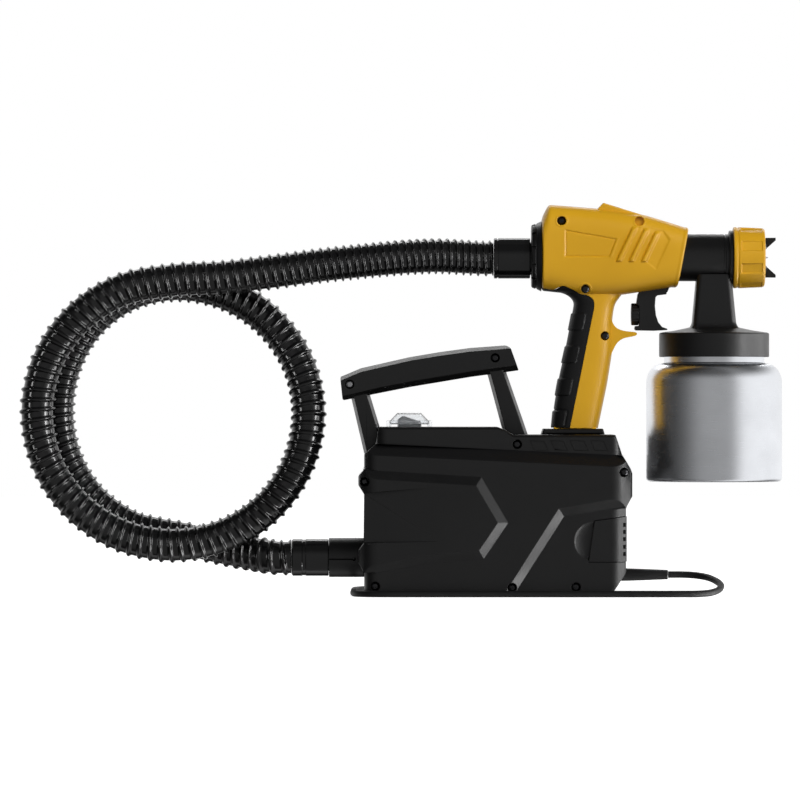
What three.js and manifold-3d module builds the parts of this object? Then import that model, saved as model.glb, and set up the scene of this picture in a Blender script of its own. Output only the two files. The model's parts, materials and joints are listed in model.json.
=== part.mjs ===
// Turbine paint sprayer: a blower base with a carry handle, an air hose and a spray gun that stands in
// a dock on the base. Millimetres, +Z up, +X the way the gun sprays, -Y the side with the filter's
// finger recess towards the viewer. The floor is z = 0, and the base's middle is x = 0 before the last
// step, which puts the origin under the middle of the object's box.

import * as THREE from 'three';
import { mergeVertices } from 'three/addons/utils/BufferGeometryUtils.js';
import Module from 'manifold-3d';

const wasm = await Module();
wasm.setup();

// ---------------------------------------------------------------------------------------------------
// Driving dimensions
// ---------------------------------------------------------------------------------------------------
const GAP = 0.3;                    // clearance between neighbouring pieces
const FAR = 400;                    // larger than the object, for cutting blocks
const WALL = 3;                     // moulded wall thickness

const BASE_LEFT = -117.1;           // base casing's ends and levels
const BASE_RIGHT = 117;
const BASE_BOTTOM = 2.6;
const LEDGE_LEFT = -122.2;          // raised panel's left end
const FACE_HALF = 61;               // half depth at the middle level of the sides
const PANEL_HALF = 66;              // half depth at the raised arrow panel
const RECESS_HALF = 56;             // half depth at the sunken corner
const CAP_HALF = 50;                // half depth of the cap above the shoulder
const CAP_TOP = 148;
const DECK_TOP = 141.2;             // the cap's lower right part, which carries the dock
const STEP = 5;                     // height of one 45 degree step between levels

const PORT_Z = 33;                  // air outlet
const PORT_END = -148.3;
const PORT_R = 17.2;
const PORT_BORE = 12;
const CORD_Z = 18;                  // mains lead's exit
const CORD_R = 3;

const GUN_Z = 296.8;                // spray axis
const GUN_BACK = 38.8;
const GUN_HALF = 27;                // half width of the gun's casing
const GRIP_HALF = 17;
const HOSE_R = 16;
const HOSE_Z = 296.2;               // hose axis where it joins the gun
const HOSE_GUN_END = -3.3;
const HOSE_BASE_END = -181.2;

const PIVOT = [145, 310];           // trigger pin (x, z)
const KNOB_Z = 247;
const BARREL_R = 20.7;
const CAP_NUT_BACK = 207.2;
const CAP_NUT_FRONT = 234.8;
const HORN_TIP = 244.6;

const CUP_X = 190.6;                // cup's axis
const CUP_R = 59.7;
const CUP_BOTTOM = 99.9;
const NECK_R = 44.1;
const LID_R = 48.3;
const LID_BOTTOM = 209.4;
const LID_TOP = 230.6;

const DOCK_TILT = 0.15;             // how far the grip leans forward for each unit up
const ORIGIN_X = (HOSE_BASE_END + CUP_X + CUP_R) / 2;

const CASING_SCREWS = [[-116.6, 100.3], [-107.4, 9.2], [16.5, 132.9], [109.6, 108.6], [12, 8], [67.7, 8.4]];
const HANDLE_SCREWS = [[-129.9, 185.4], [-2.2, 208.6]];
const GUN_SCREWS = [[55.9, 328.8], [76.7, 268.8], [94.3, 227.9]];

// ---------------------------------------------------------------------------------------------------
// Materials
// ---------------------------------------------------------------------------------------------------
function finish(color, roughness, metalness) {
  return new THREE.MeshStandardMaterial({ color, roughness, metalness });
}
const blackPlastic = finish(0x1c1c1d, 0.55, 0);
const glossBlack = finish(0x111112, 0.22, 0);
const yellowPlastic = finish(0xd9a520, 0.45, 0);
const rubber = finish(0x171717, 0.85, 0);
const aluminium = finish(0xc4c6c8, 0.32, 1);
const steel = finish(0x9a9c9e, 0.35, 1);
const darkSteel = finish(0x2a2a2c, 0.4, 0.8);
const foam = finish(0x4a4d50, 0.95, 0);
const greyPlastic = finish(0x8d9092, 0.5, 0);
const clearPlastic = finish(0xe8eef0, 0.08, 0);
const board = finish(0x1f5a36, 0.5, 0);

// ---------------------------------------------------------------------------------------------------
// Solids
// ---------------------------------------------------------------------------------------------------
// A closed three.js geometry as a solid that can be joined and cut.
function solid(geometry) {
  const bare = geometry.index ? geometry.toNonIndexed() : geometry.clone();
  bare.deleteAttribute('normal');
  bare.deleteAttribute('uv');
  const merged = mergeVertices(bare, 1e-4);
  return new wasm.Manifold(new wasm.Mesh({
    numProp: 3,
    vertProperties: new Float32Array(merged.attributes.position.array),
    triVerts: new Uint32Array(merged.index.array),
  }));
}

function outline(points) {
  return new THREE.Shape(points.map(([u, v]) => new THREE.Vector2(u, v)));
}

// An extrusion of an outline from low to high. The bevel eats into both ends and never widens the
// outline. Axis y draws the outline in (x, z), axis x in (y, z) and axis z in (x, y).
function prism(axis, points, low, high, bevel = 0, segments = 1, bevelDepth = bevel) {
  const geometry = new THREE.ExtrudeGeometry(outline(points), {
    depth: high - low - 2 * (bevel ? bevelDepth : 0),
    bevelEnabled: bevel > 0,
    bevelThickness: bevelDepth,
    bevelSize: bevel,
    bevelOffset: -bevel,
    bevelSegments: segments,
    curveSegments: 8,
    steps: 1,
  });
  geometry.translate(0, 0, low + (bevel ? bevelDepth : 0));
  if (axis === 'y') {
    geometry.rotateX(Math.PI / 2);
    geometry.translate(0, low + high, 0);
  }
  if (axis === 'x') {
    geometry.rotateX(Math.PI / 2);
    geometry.rotateZ(Math.PI / 2);
  }
  return solid(geometry);
}

function block(x0, x1, y0, y1, z0, z1) {
  const geometry = new THREE.BoxGeometry(x1 - x0, y1 - y0, z1 - z0);
  geometry.translate((x0 + x1) / 2, (y0 + y1) / 2, (z0 + z1) / 2);
  return solid(geometry);
}

// A body of revolution about a line along the axis through at. The profile holds [radius, position].
function turned(axis, profile, at, segments = 20) {
  const points = profile.map(([radius, along]) => new THREE.Vector2(radius, along));
  points.push(points[0].clone());
  const geometry = new THREE.LatheGeometry(points, segments);
  if (axis === 'x') geometry.rotateZ(-Math.PI / 2);
  if (axis === 'z') geometry.rotateX(Math.PI / 2);
  geometry.translate(...at);
  return solid(geometry);
}

function rod(axis, radius, low, high, at, segments = 20) {
  return turned(axis, [[0, low], [radius, low], [radius, high], [0, high]], at, segments);
}

function pipe(axis, outer, inner, low, high, at, segments = 20) {
  return turned(axis, [[inner, low], [outer, low], [outer, high], [inner, high]], at, segments);
}

function sweep(path, steps, radius, sides) {
  const ring = [];
  for (let side = 0; side < sides; side++) {
    const angle = (2 * Math.PI * side) / sides;
    ring.push([radius * Math.cos(angle), radius * Math.sin(angle)]);
  }
  return new THREE.ExtrudeGeometry(outline(ring), { steps, extrudePath: path, bevelEnabled: false });
}

function curveThrough(points) {
  return new THREE.CatmullRomCurve3(points.map((point) => new THREE.Vector3(...point)), false, 'centripetal');
}

function join(...solids) {
  return solids.reduce((total, next) => total.add(next));
}

function frontHalf(whole) {
  return whole.intersect(block(-FAR, FAR, -FAR, -GAP / 2, -FAR, FAR));
}

function rearHalf(whole) {
  return whole.intersect(block(-FAR, FAR, GAP / 2, FAR, -FAR, FAR));
}

// ---------------------------------------------------------------------------------------------------
// The scene graph
// ---------------------------------------------------------------------------------------------------
const sprayer = new THREE.Group();
const turbineBase = new THREE.Group();
const sprayGun = new THREE.Group();
const cordsAndHose = new THREE.Group();
sprayer.add(turbineBase, sprayGun, cordsAndHose);
sprayer.position.x = -ORIGIN_X;

function place(group, name, shape, material) {
  let geometry = shape;
  if (!shape.isBufferGeometry) {
    const mesh = shape.getMesh();
    geometry = new THREE.BufferGeometry();
    geometry.setAttribute('position', new THREE.BufferAttribute(mesh.vertProperties, 3));
    geometry.setIndex(new THREE.BufferAttribute(mesh.triVerts, 1));
    geometry.computeVertexNormals();
  }
  const mesh = new THREE.Mesh(geometry, material);
  mesh.name = name;
  group.add(mesh);
}

// ---------------------------------------------------------------------------------------------------
// Base casing
// ---------------------------------------------------------------------------------------------------
const SHOULDER = [[-106.9, 133.3], [108.5, 123.2]];     // line where the shoulder meets the cap
const CORNER_RIGHT = 111.8;                              // sunken corner's end face

// Side view of the casing up to the cap's foot, without the raised panel.
const lowerOutline = [
  [BASE_LEFT, BASE_BOTTOM], [99.5, BASE_BOTTOM], [CORNER_RIGHT, 21.1], [CORNER_RIGHT, 78.3],
  [BASE_RIGHT, 87.3], [BASE_RIGHT, 107.4], [115.7, 111.3], SHOULDER[1], SHOULDER[0], [BASE_LEFT, 124.3],
];
const capOutline = [
  [-106.9, 120], [108.5, 115], SHOULDER[1], [102.3, DECK_TOP], [13.1, DECK_TOP], [6.3, 145.6],
  [-0.4, CAP_TOP], [-104.7, CAP_TOP], SHOULDER[0],
];
const panelOutline = [
  [LEDGE_LEFT, 97.4], [LEDGE_LEFT, 105.2], [BASE_LEFT, 110.9], [-15, 104.5], [8.6, 64.4], [-12.8, 32.9],
  [-60, 29], [-105, 21.1], [BASE_LEFT, 21.1], [LEDGE_LEFT, 30], [LEDGE_LEFT, 40.1], [BASE_LEFT, 46.9],
  [BASE_LEFT, 89.5],
];
const sunkenOutline = [[53.9, 76.7], [3.6, -1.4], [3.6, -30], [160, -30], [160, 94.6]];

function roundedPlan(left, right, half, radiusLeft, radiusRight) {
  const shape = new THREE.Shape();
  shape.moveTo(left + radiusLeft, -half);
  shape.absarc(right - radiusRight, -half + radiusRight, radiusRight, -Math.PI / 2, 0);
  shape.absarc(right - radiusRight, half - radiusRight, radiusRight, 0, Math.PI / 2);
  shape.absarc(left + radiusLeft, half - radiusLeft, radiusLeft, Math.PI / 2, Math.PI);
  shape.absarc(left + radiusLeft, -half + radiusLeft, radiusLeft, Math.PI, 1.5 * Math.PI);
  const points = shape.getPoints(3).map((point) => [point.x, point.y]);
  return points.filter(([x, y], index) => {
    const [nextX, nextY] = points[(index + 1) % points.length];
    return Math.hypot(x - nextX, y - nextY) > 0.01;
  });
}

function mirrored(front) {
  return join(front, front.mirror([0, 1, 0]));
}

// The main level of both sides, with the sloping shoulder along its top edge.
function faceTier() {
  const shoulder = 10;
  const wide = [[-170, -40], [170, -40], [170, 120.3], [-170, 136.3]];
  return prism('y', wide, -FACE_HALF, FACE_HALF, shoulder, 1, shoulder + 1)
    .intersect(prism('y', lowerOutline, -FAR, FAR))
    .intersect(prism('z', roundedPlan(BASE_LEFT, BASE_RIGHT, FACE_HALF, 12, 19), -FAR, FAR));
}

// Sunken lower right corner, one 45 degree step below the main level, with its own rounded end.
function sunkenCorner() {
  const side = mirrored(prism('y', sunkenOutline, -RECESS_HALF - 40, -RECESS_HALF, STEP));
  const end = prism('y', [[85, -30], [160, -30], [160, 83], [85, 74]], -FAR, FAR)
    .subtract(prism('z', roundedPlan(-FAR, CORNER_RIGHT, RECESS_HALF, 14, 14), -FAR, FAR));
  return join(side, end);
}

// Shallow ramp between the two ledges of the raised panel's left end.
function panelScoop() {
  const rampStart = -50.9;
  const slope = Math.atan(STEP / (rampStart - BASE_LEFT)) * 180 / Math.PI;
  const scoop = [[rampStart, 96.3], [rampStart, 48.7], [-140, 46.7], [-140, 88]];
  return mirrored(prism('y', scoop, -30, 0)
    .translate([-rampStart, 0, 0])
    .rotate([0, 0, -slope])
    .translate([rampStart, -PANEL_HALF, 0]));
}

// Four blank slanted marks on the cap's side.
function capMarks() {
  const marks = [[31, 13], [49, 12], [66, 13], [84, 12]].map(([x, width]) => prism('y', [
    [x, 127.5], [x + width, 127], [x + width - 4, 136], [x - 4, 136.5],
  ], -CAP_HALF - 2, -CAP_HALF + 0.8));
  return mirrored(join(...marks));
}

function casingSolid() {
  const core = prism('y', lowerOutline, -CAP_HALF, CAP_HALF);
  const panel = prism('y', panelOutline, -PANEL_HALF, PANEL_HALF, STEP)
    .intersect(prism('z', roundedPlan(LEDGE_LEFT, BASE_RIGHT, PANEL_HALF, 17, 19), -FAR, FAR))
    .subtract(panelScoop());
  const cap = prism('y', capOutline, -CAP_HALF, CAP_HALF, 2)
    .intersect(prism('z', roundedPlan(-106.9, 108.5, CAP_HALF, 10, 10), -FAR, FAR));
  return join(faceTier(), core).subtract(sunkenCorner()).add(panel).add(cap).subtract(capMarks());
}

function casingCavity() {
  const low = BASE_BOTTOM + WALL;
  const lower = [
    [BASE_LEFT + WALL, low], [97, low], [108.6, 22], [108.6, 79], [113.6, 88.5], [113.6, 106], [105.4, 118],
    [-105, 128], [BASE_LEFT + WALL, 121],
  ];
  const cap = [
    [-103.8, 118], [104, 112], [104, 121], [99, DECK_TOP - WALL], [12, DECK_TOP - WALL], [4.5, 142.4],
    [-2, CAP_TOP - WALL], [-101.5, CAP_TOP - WALL],
  ];
  const face = [[-108, low + 5], [-20, low + 5], [40, 84], [100, 92], [98, 100], [-108, 112]];
  return join(
    prism('y', lower, -RECESS_HALF + 6, RECESS_HALF - 6),
    prism('y', cap, -CAP_HALF + WALL, CAP_HALF - WALL),
    prism('y', face, -FACE_HALF + 4, FACE_HALF - 4),
  );
}

const SCREW_WELL_R = 4.1;
const SCREW_HEAD_R = 3.6;
const SCREW_HEAD = 2.2;
const SCREW_SHANK_R = 1.5;
const SCREW_REACH = 8;              // how far a screw goes past the parting plane

// A casing half keeps a boss around each screw, a well for its head and a hole for its shank.
function withScrews(hollow, whole, places, seats, bossR) {
  const bosses = places.map(([x, z]) => rod('y', bossR, -FAR, FAR, [x, 0, z], 8));
  const wells = places.map(([x, z], index) => (
    rod('y', SCREW_WELL_R, -FAR, -seats[index], [x, 0, z], 12)
  ));
  const holes = places.map(([x, z], index) => (
    rod('y', SCREW_SHANK_R + GAP, -seats[index] - 1, SCREW_REACH + 1, [x, 0, z], 8)
  ));
  return hollow.add(join(...bosses).intersect(whole)).subtract(join(...wells, ...holes));
}

function screw(x, z, seat) {
  const head = -seat - GAP;
  return turned('y', [
    [0, head - SCREW_HEAD], [SCREW_HEAD_R - 1, head - SCREW_HEAD], [SCREW_HEAD_R, head - 1], [SCREW_HEAD_R, head],
    [SCREW_SHANK_R, head], [SCREW_SHANK_R, SCREW_REACH], [0, SCREW_REACH],
  ], [x, 0, z], 8);
}

// ---------------------------------------------------------------------------------------------------
// Filter cover: a C-shaped shell that wraps the sunken corner from side to side
// ---------------------------------------------------------------------------------------------------
const COVER_PROUD = 0.6;
const COVER_WALL = 3;

function coverBlock(grow) {
  const outer = [
    [83.9 - grow, 66 + grow], [78.8 - grow, 30.4 - grow], [130, 30.4 - grow], [130, 71.9 + grow],
    [110.8, 69.8 + grow],
  ];
  return prism('y', outer, -FAR, FAR);
}

function coverInside(grow) {
  const half = RECESS_HALF + COVER_PROUD - COVER_WALL + grow;
  const right = CORNER_RIGHT + COVER_PROUD - COVER_WALL + grow;
  return prism('z', roundedPlan(-FAR, right, half, 11, 11), -FAR, FAR);
}

function filterCover() {
  const skin = prism('z', roundedPlan(-FAR, CORNER_RIGHT + COVER_PROUD, RECESS_HALF + COVER_PROUD, 14, 14), 0, FAR)
    .subtract(coverInside(0))
    .intersect(coverBlock(0));
  const vents = [37.2, 43.5, 50.2, 56.5, 62.6].map((z) => block(107.6, 120, -60, -7, z - 2, z + 2));
  return skin.subtract(mirrored(join(...vents)));
}

// Room that the casing leaves for the cover, and the dish for the finger that pulls it.
function coverSeat() {
  const dish = mirrored(rod('y', 16.5, -FAR, -RECESS_HALF + 3, [83, 0, 48.4], 24))
    .intersect(block(60, 83, -FAR, FAR, 0, 70));
  return coverBlock(GAP).subtract(coverInside(-GAP)).add(dish);
}

// ---------------------------------------------------------------------------------------------------
// Base pieces
// ---------------------------------------------------------------------------------------------------
const casingSeats = [52, 56, 45.5, 52, 52, 51.5];
const SWITCH_X = -77.5;
const SWITCH_Z = 148;

function dockOutline(grow, low, high) {
  const lean = (z) => (z - 147) * DOCK_TILT;
  return [
    [49.5 - grow + lean(low), low], [86.5 + grow + lean(low), low], [86.5 + grow + lean(high), high],
    [49.5 - grow + lean(high), high],
  ];
}

function baseShells() {
  const whole = casingSolid();
  const switchHole = block(SWITCH_X - 13.5, SWITCH_X + 13.5, -8.6, 8.6, 138, 155);
  const dockHole = prism('y', dockOutline(4.1, 124, 148), -17.6, 17.6);
  const portHole = rod('x', 14.3, -130, -100, [0, 0, PORT_Z], 20);
  const cordHole = rod('x', 5.9, 90, 130, [0, 0, CORD_Z], 16);
  const hollow = withScrews(whole.subtract(casingCavity()), whole, CASING_SCREWS, casingSeats, 5.4)
    .subtract(join(switchHole, dockHole, portHole, cordHole, coverSeat()));
  place(turbineBase, 'base_shell_front', frontHalf(hollow), blackPlastic);
  place(turbineBase, 'base_shell_rear', rearHalf(hollow), blackPlastic);
  CASING_SCREWS.forEach(([x, z], index) => {
    place(turbineBase, `base_screw_${index + 1}`, screw(x, z, casingSeats[index]), darkSteel);
  });
  return whole;
}

function carryHandle(casing) {
  const seat = 12;
  const bar = prism('y', [
    [-137, 191.6], [-120.5, 199.5], [-103.4, 203.3], [-77, 209.4], [-50.6, 213.8],
    [-24.2, 217.4], [7.5, 219.7], [11.9, 217.4], [18.2, 197.6], [-11, 193.6], [-24.2, 191.8], [-77, 183],
    [-103.4, 177.8], [-131, 171],
  ], -16, 16, 5.5);
  const leftPost = prism('y', [
    [-128.6, 180], [-113, 182], [-105.2, 148.3], [-102, 140], [-106, 124], [-117.1, 124],
  ], -13, 13, 2.5);
  const rightPost = prism('y', [[-9.6, 202], [6.6, 202], [25.8, 138], [3, 138]], -13, 13, 2.5);
  const whole = join(bar, leftPost, rightPost)
    .subtract(casing.translate([0, 0, 0.45]))
    .subtract(casing.translate([-0.4, 0, 0]));
  const drilled = withScrews(whole, whole, HANDLE_SCREWS, [seat, seat], 5);
  place(turbineBase, 'handle_front', frontHalf(drilled), blackPlastic);
  place(turbineBase, 'handle_rear', rearHalf(drilled), blackPlastic);
  HANDLE_SCREWS.forEach(([x, z], index) => {
    place(turbineBase, `handle_screw_${index + 1}`, screw(x, z, seat), steel);
  });
}

function dockSocket() {
  const top = 146.4;
  const plinth = prism('y', [[38.3, DECK_TOP + GAP], [93.7, DECK_TOP + GAP], [92.3, top], [40, top]], -25, 25, 1.2);
  const well = prism('y', dockOutline(3.6, 126.5, 144), -17.2, 17.2);
  const pocket = prism('y', dockOutline(0.6, 129, 160), -14.1, 14.1);
  return join(plinth, well).subtract(pocket);
}

function mainsSwitch() {
  const low = CAP_TOP + GAP;
  const frame = prism('y', [[-97.6, low], [-57.6, low], [-59.2, 154.6], [-96, 154.6]], -12.5, 12.5, 1)
    .subtract(block(SWITCH_X - 13.2, SWITCH_X + 13.2, -8.3, 8.3, 140, 160));
  const rocker = prism('y', [
    [SWITCH_X - 10.5, 146.4], [SWITCH_X + 10.5, 146.4], [SWITCH_X + 10, 154.2], [SWITCH_X, 152.4],
    [SWITCH_X - 10, 156.6],
  ], -7.6, 7.6);
  const cover = prism('y', [[-95, 154.9], [-60.3, 154.9], [-66.6, 160.2], [-87.9, 160.2]], -10.8, 10.8, 1)
    .subtract(prism('y', [[-93.4, 154], [-62, 154], [-67.4, 159.1], [-87.2, 159.1]], -9.4, 9.4));
  place(turbineBase, 'switch_frame', frame, blackPlastic);
  place(turbineBase, 'switch_rocker', rocker, greyPlastic);
  place(turbineBase, 'switch_cover', cover, clearPlastic);
}

function outletPort(casing) {
  const sleeve = pipe('x', PORT_R, PORT_BORE, PORT_END, -112, [0, 0, PORT_Z], 40)
    .subtract(casing.translate([-GAP, 0, 0]));
  const spigot = pipe('x', 14, PORT_BORE, -125, -108.4, [0, 0, PORT_Z], 20);
  return join(sleeve, spigot);
}

const MOTOR_Z = 80;
const FAN_RIGHT = 24;
const BLADES = 8;

function blower() {
  const at = [0, 0, MOTOR_Z];
  const motor = turned('x', [
    [0, -66], [10, -66], [10, -62], [27, -62], [27, -14], [12, -14], [12, -8], [4.3, -8], [4.3, -24], [0, -24],
  ], at, 24);
  const hub = turned('x', [[0, -23.6], [4, -23.6], [4, 4], [36, 4], [36, 6.5], [10, 6.5], [7, 20], [0, 20]], at, 24);
  const blade = block(6, 17, -1, 1, 8, 35.5);
  const blades = [];
  for (let index = 0; index < BLADES; index++) {
    blades.push(blade.rotate([(360 * index) / BLADES, 0, 0]).translate([0, 0, MOTOR_Z]));
  }
  const drum = pipe('x', 44, 39.5, -2, FAN_RIGHT, at, 24);
  const back = pipe('x', 42, 5.5, -2, 1, at, 24);
  const front = pipe('x', 42, 14, FAN_RIGHT - 3, FAN_RIGHT, at, 24);
  const snout = block(-2, FAN_RIGHT, -14, 14, 19, 48).subtract(rod('x', 42, -10, 40, at, 20));
  const throat = block(1, FAN_RIGHT - 3, -11, 11, 22, 60);
  const mouth = rod('x', 11, -4, 2, [0, 0, PORT_Z], 20);
  const housing = join(drum, back, front, snout).subtract(join(throat, mouth));
  const duct = pipe('x', 13, 11, -107.8, -2.4, [0, 0, PORT_Z], 20);
  const cradle = block(-50, -26, -28, 28, BASE_BOTTOM + WALL + GAP, 66)
    .subtract(rod('x', 27.3, -60, 0, at, 32))
    .subtract(rod('x', 13.3, -60, 0, [0, 0, PORT_Z], 24));
  place(turbineBase, 'motor', motor, steel);
  place(turbineBase, 'impeller', join(hub, ...blades), greyPlastic);
  place(turbineBase, 'turbine_housing', housing, blackPlastic);
  place(turbineBase, 'air_duct', duct, blackPlastic);
  place(turbineBase, 'motor_cradle', cradle, rubber);
}

function controlBoard() {
  const plate = block(-96, -58, -20, 20, 122, 123.6);
  const capacitor = rod('z', 6, 123, 134, [-88, -10, 0], 12);
  const relay = block(-80, -64, 2, 15, 123, 133);
  return join(plate, capacitor, relay);
}

function strainRelief() {
  return turned('x', [
    [0, 96], [7, 96], [7, 99.6], [5.6, 99.6], [5.6, 118], [4.6, 136], [4, 150], [0, 150],
  ], [0, 0, CORD_Z], 20);
}

function turbineBasePieces() {
  const casing = baseShells();
  carryHandle(casing);
  place(turbineBase, 'dock_socket', dockSocket(), blackPlastic);
  mainsSwitch();
  place(turbineBase, 'outlet_port', outletPort(casing), blackPlastic);
  place(turbineBase, 'filter_cover', filterCover(), blackPlastic);
  place(turbineBase, 'filter_foam', block(78, 108.2, -45, 45, 33, 67), foam);
  blower();
  place(turbineBase, 'control_board', controlBoard(), board);
  place(turbineBase, 'strain_relief', strainRelief(), blackPlastic);
  [[-88, -40], [-88, 40], [84, -40], [84, 40]].forEach(([x, y], index) => {
    place(turbineBase, `foot_${index + 1}`, rod('z', 9, 0, BASE_BOTTOM - GAP, [x, y, 0], 24), rubber);
  });
}

// ---------------------------------------------------------------------------------------------------
// Gun casing
// ---------------------------------------------------------------------------------------------------
const gunOutline = [
  [GUN_BACK, 267.7], [GUN_BACK, 331.9], [44.8, 343.3], [86.9, 340], [92.8, 345], [128, 335.5], [167.6, 322.4],
  [158, 271.9], [151.8, 270.2], [108.7, 264], [104, 259.6], [84.3, 261], [48.3, 267.7],
];
const gunSeats = [21, 21, 11.5];

const gripOutline = [
  [47.4, 147], [49.3, 167.6], [53.8, 192.8], [59.1, 216.1], [65.7, 250.3], [67.2, 257.5], [48.3, 267.7],
  [48.3, 285], [106, 285], [104, 259.6], [100.4, 239.4], [103.1, 223.5], [102.3, 216.1], [96.4, 185.7],
  [92, 164.6], [88.4, 147],
];
const rubberSide = [[20, 120], [58.6, 120], [63.6, 147], [81.4, 243.1], [84.3, 262], [48, 268.5], [20, 275]];

function gripCore(grow) {
  return prism('y', [
    [51.6 - grow, 146], [53.4 - grow, 167.2], [57.8 - grow, 192], [63.1 - grow, 215.4], [69.7 - grow, 249.6],
    [72 - grow, 262], [97, 262], [92, 220], [82, 146],
  ], -12.5 - grow, 12.5 + grow);
}

function gunBody() {
  return prism('y', gunOutline, -GUN_HALF, GUN_HALF, 7, 2);
}

function grip() {
  return prism('y', gripOutline, -GRIP_HALF, GRIP_HALF, 5.5, 2);
}

// Recessed plate field, slanted cooling ribs and the blind dimple on each side.
function gunRelief() {
  const field = prism('y', [[58.5, 320.3], [103.1, 312.8], [98.1, 296.6], [58.5, 296.6]], -GUN_HALF - 5, -GUN_HALF + 1);
  const ribs = [[121, 106.9], [129.8, 118.4], [142.1, 129.8]].map(([top, bottom]) => prism('y', [
    [top - 2.6, 322], [top + 2.6, 322], [bottom + 2.6, 294], [bottom - 2.6, 294],
  ], -GUN_HALF - 5, -GUN_HALF + 2.4));
  const dimple = rod('y', 4.3, -GUN_HALF - 5, -GUN_HALF + 2.2, [124.2, 0, 328.4], 16);
  return mirrored(join(field, ...ribs, dimple));
}

function gunCavity() {
  const chamber = prism('y', [
    [42, 271], [42, 331], [46.5, 339.5], [86, 336.5], [93, 341], [127, 332], [163.5, 319.5], [155, 275],
    [108, 267.5], [96, 263], [84.5, 264.5], [49, 271],
  ], -GUN_HALF + WALL, GUN_HALF - WALL, 6, 1);
  const gripHollow = prism('y', [
    [56, 152], [57.5, 167.2], [62, 192], [67, 215.4], [73.5, 249.6], [77, 272], [96, 272], [88, 220], [80, 152],
  ], -9, 9);
  return join(chamber, gripHollow);
}

function gunShells() {
  const hook = prism('y', [[99, 236.4], [121.9, 232.1], [121.9, 227.9], [99, 222.5]], -8, 8, 1);
  const foot = prism('y', dockOutline(0, 130, 147), -13.5, 13.5);
  const yellowGrip = grip().subtract(prism('y', rubberSide, -FAR, FAR));
  const whole = join(gunBody().subtract(gunRelief()), yellowGrip, gripCore(0), hook, foot);
  const pinBosses = rod('y', 5, -GUN_HALF + 1, GUN_HALF - 1, [PIVOT[0], 0, PIVOT[1]], 16)
    .subtract(block(130, 160, -9, 9, 300, 320));
  const springRib = block(94.5, 98, -GUN_HALF + 1.5, GUN_HALF - 1.5, 288, 306);
  const hollow = withScrews(whole.subtract(gunCavity()), whole, GUN_SCREWS, gunSeats, 4.9)
    .add(join(pinBosses, springRib));
  const collarHole = rod('x', 18.3, 30, 60, [0, 0, HOSE_Z], 20);
  const barrelHole = rod('x', 21, 154, 180, [0, 0, GUN_Z], 20);
  const triggerSlot = block(113.4, 153.8, -9.2, 9.2, 255, 285);
  const pinHole = rod('y', 2.6, -14.5, 14.5, [PIVOT[0], 0, PIVOT[1]], 16);
  const needleHole = rod('x', 2, 90, 100, [0, 0, GUN_Z], 12);
  const shells = hollow.subtract(join(collarHole, barrelHole, triggerSlot, pinHole, needleHole));
  place(sprayGun, 'gun_shell_front', frontHalf(shells), yellowPlastic);
  place(sprayGun, 'gun_shell_rear', rearHalf(shells), yellowPlastic);
  GUN_SCREWS.forEach(([x, z], index) => {
    place(sprayGun, `gun_screw_${index + 1}`, screw(x, z, gunSeats[index]), darkSteel);
  });
}

// Overmould on the grip's back, with four stepped pads on each side.
function gripRubber() {
  const pads = [[232, 248], [204, 221], [176, 191], [149, 162]].map(([low, high]) => {
    const middle = (low + high) / 2;
    const centre = 62 + (middle - 155) * 0.178;
    const half = (high - low) / 2;
    return prism('y', [
      [centre - 5.5, middle - half], [centre + 3, middle - half + 1.5], [centre + 6, middle + half],
      [centre - 2.5, middle + half - 1.5],
    ], -GRIP_HALF - 1.2, GRIP_HALF + 1.2, 1);
  });
  const bodyBelow = gunBody().translate([0, 0, -GAP]);
  const edge = prism('y', rubberSide, -FAR, FAR).translate([-GAP, 0, -GAP]);
  return join(grip(), ...pads).intersect(edge).subtract(bodyBelow).subtract(gripCore(GAP))
    .intersect(block(-FAR, FAR, -FAR, FAR, 147 + GAP, FAR));
}

function rearCollar() {
  const notch = block(28, 36, -2, 2, 26, 34);
  const notches = [];
  for (let index = 0; index < 6; index++) {
    notches.push(notch.rotate([60 * index + 30, 0, 0]).translate([0, 0, 298.5]));
  }
  const flange = turned('x', [[0, 29.7], [28, 29.7], [29.4, 31], [30.5, 38.5], [0, 38.5]], [0, 0, 298.5], 20);
  const sleeve = rod('x', 18, 38, 54, [0, 0, HOSE_Z], 20);
  return join(flange.subtract(join(...notches)), sleeve).subtract(rod('x', 15, 20, 60, [0, 0, HOSE_Z], 24));
}

// ---------------------------------------------------------------------------------------------------
// Spray head
// ---------------------------------------------------------------------------------------------------
const sprayAxis = [0, 0, GUN_Z];

function barrel() {
  const tube = turned('x', [
    [1.8, 154.5], [BARREL_R, 154.5], [BARREL_R, 203.5], [23.9, 203.5], [23.9, 206.9], [19, 206.9], [19, 226],
    [15.9, 226], [15.9, 158], [1.8, 158],
  ], sprayAxis, 24);
  const airHole = rod('x', 3, 150, 162, [0, 0, 10], 6);
  const airHoles = [];
  for (let index = 0; index < 6; index++) {
    airHoles.push(airHole.rotate([60 * index, 0, 0]).translate(sprayAxis));
  }
  const inlet = rod('z', 2.5, GUN_Z - 30, GUN_Z - 10, [CUP_X, 0, 0], 12);
  return tube.subtract(join(...airHoles, inlet));
}

function fluidNozzle() {
  const body = turned('x', [
    [1.6, 172], [9, 172], [9, 186], [15.6, 186], [15.6, 188], [6, 188], [6, 214], [4.2, 224], [2.4, 234],
    [2.4, 238.5], [1.6, 238.5],
  ], sprayAxis, 14);
  return body.subtract(rod('z', 2, GUN_Z - 12, GUN_Z, [CUP_X + 1, 0, 0], 12));
}

const COLLAR_BACK = 133.6;

function needle() {
  return turned('x', [
    [0, 99], [1.2, 99], [1.2, COLLAR_BACK], [8, COLLAR_BACK], [8, 137], [1.2, 137], [1.2, 234], [0.4, 238],
    [0, 238],
  ], sprayAxis, 16);
}

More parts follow.
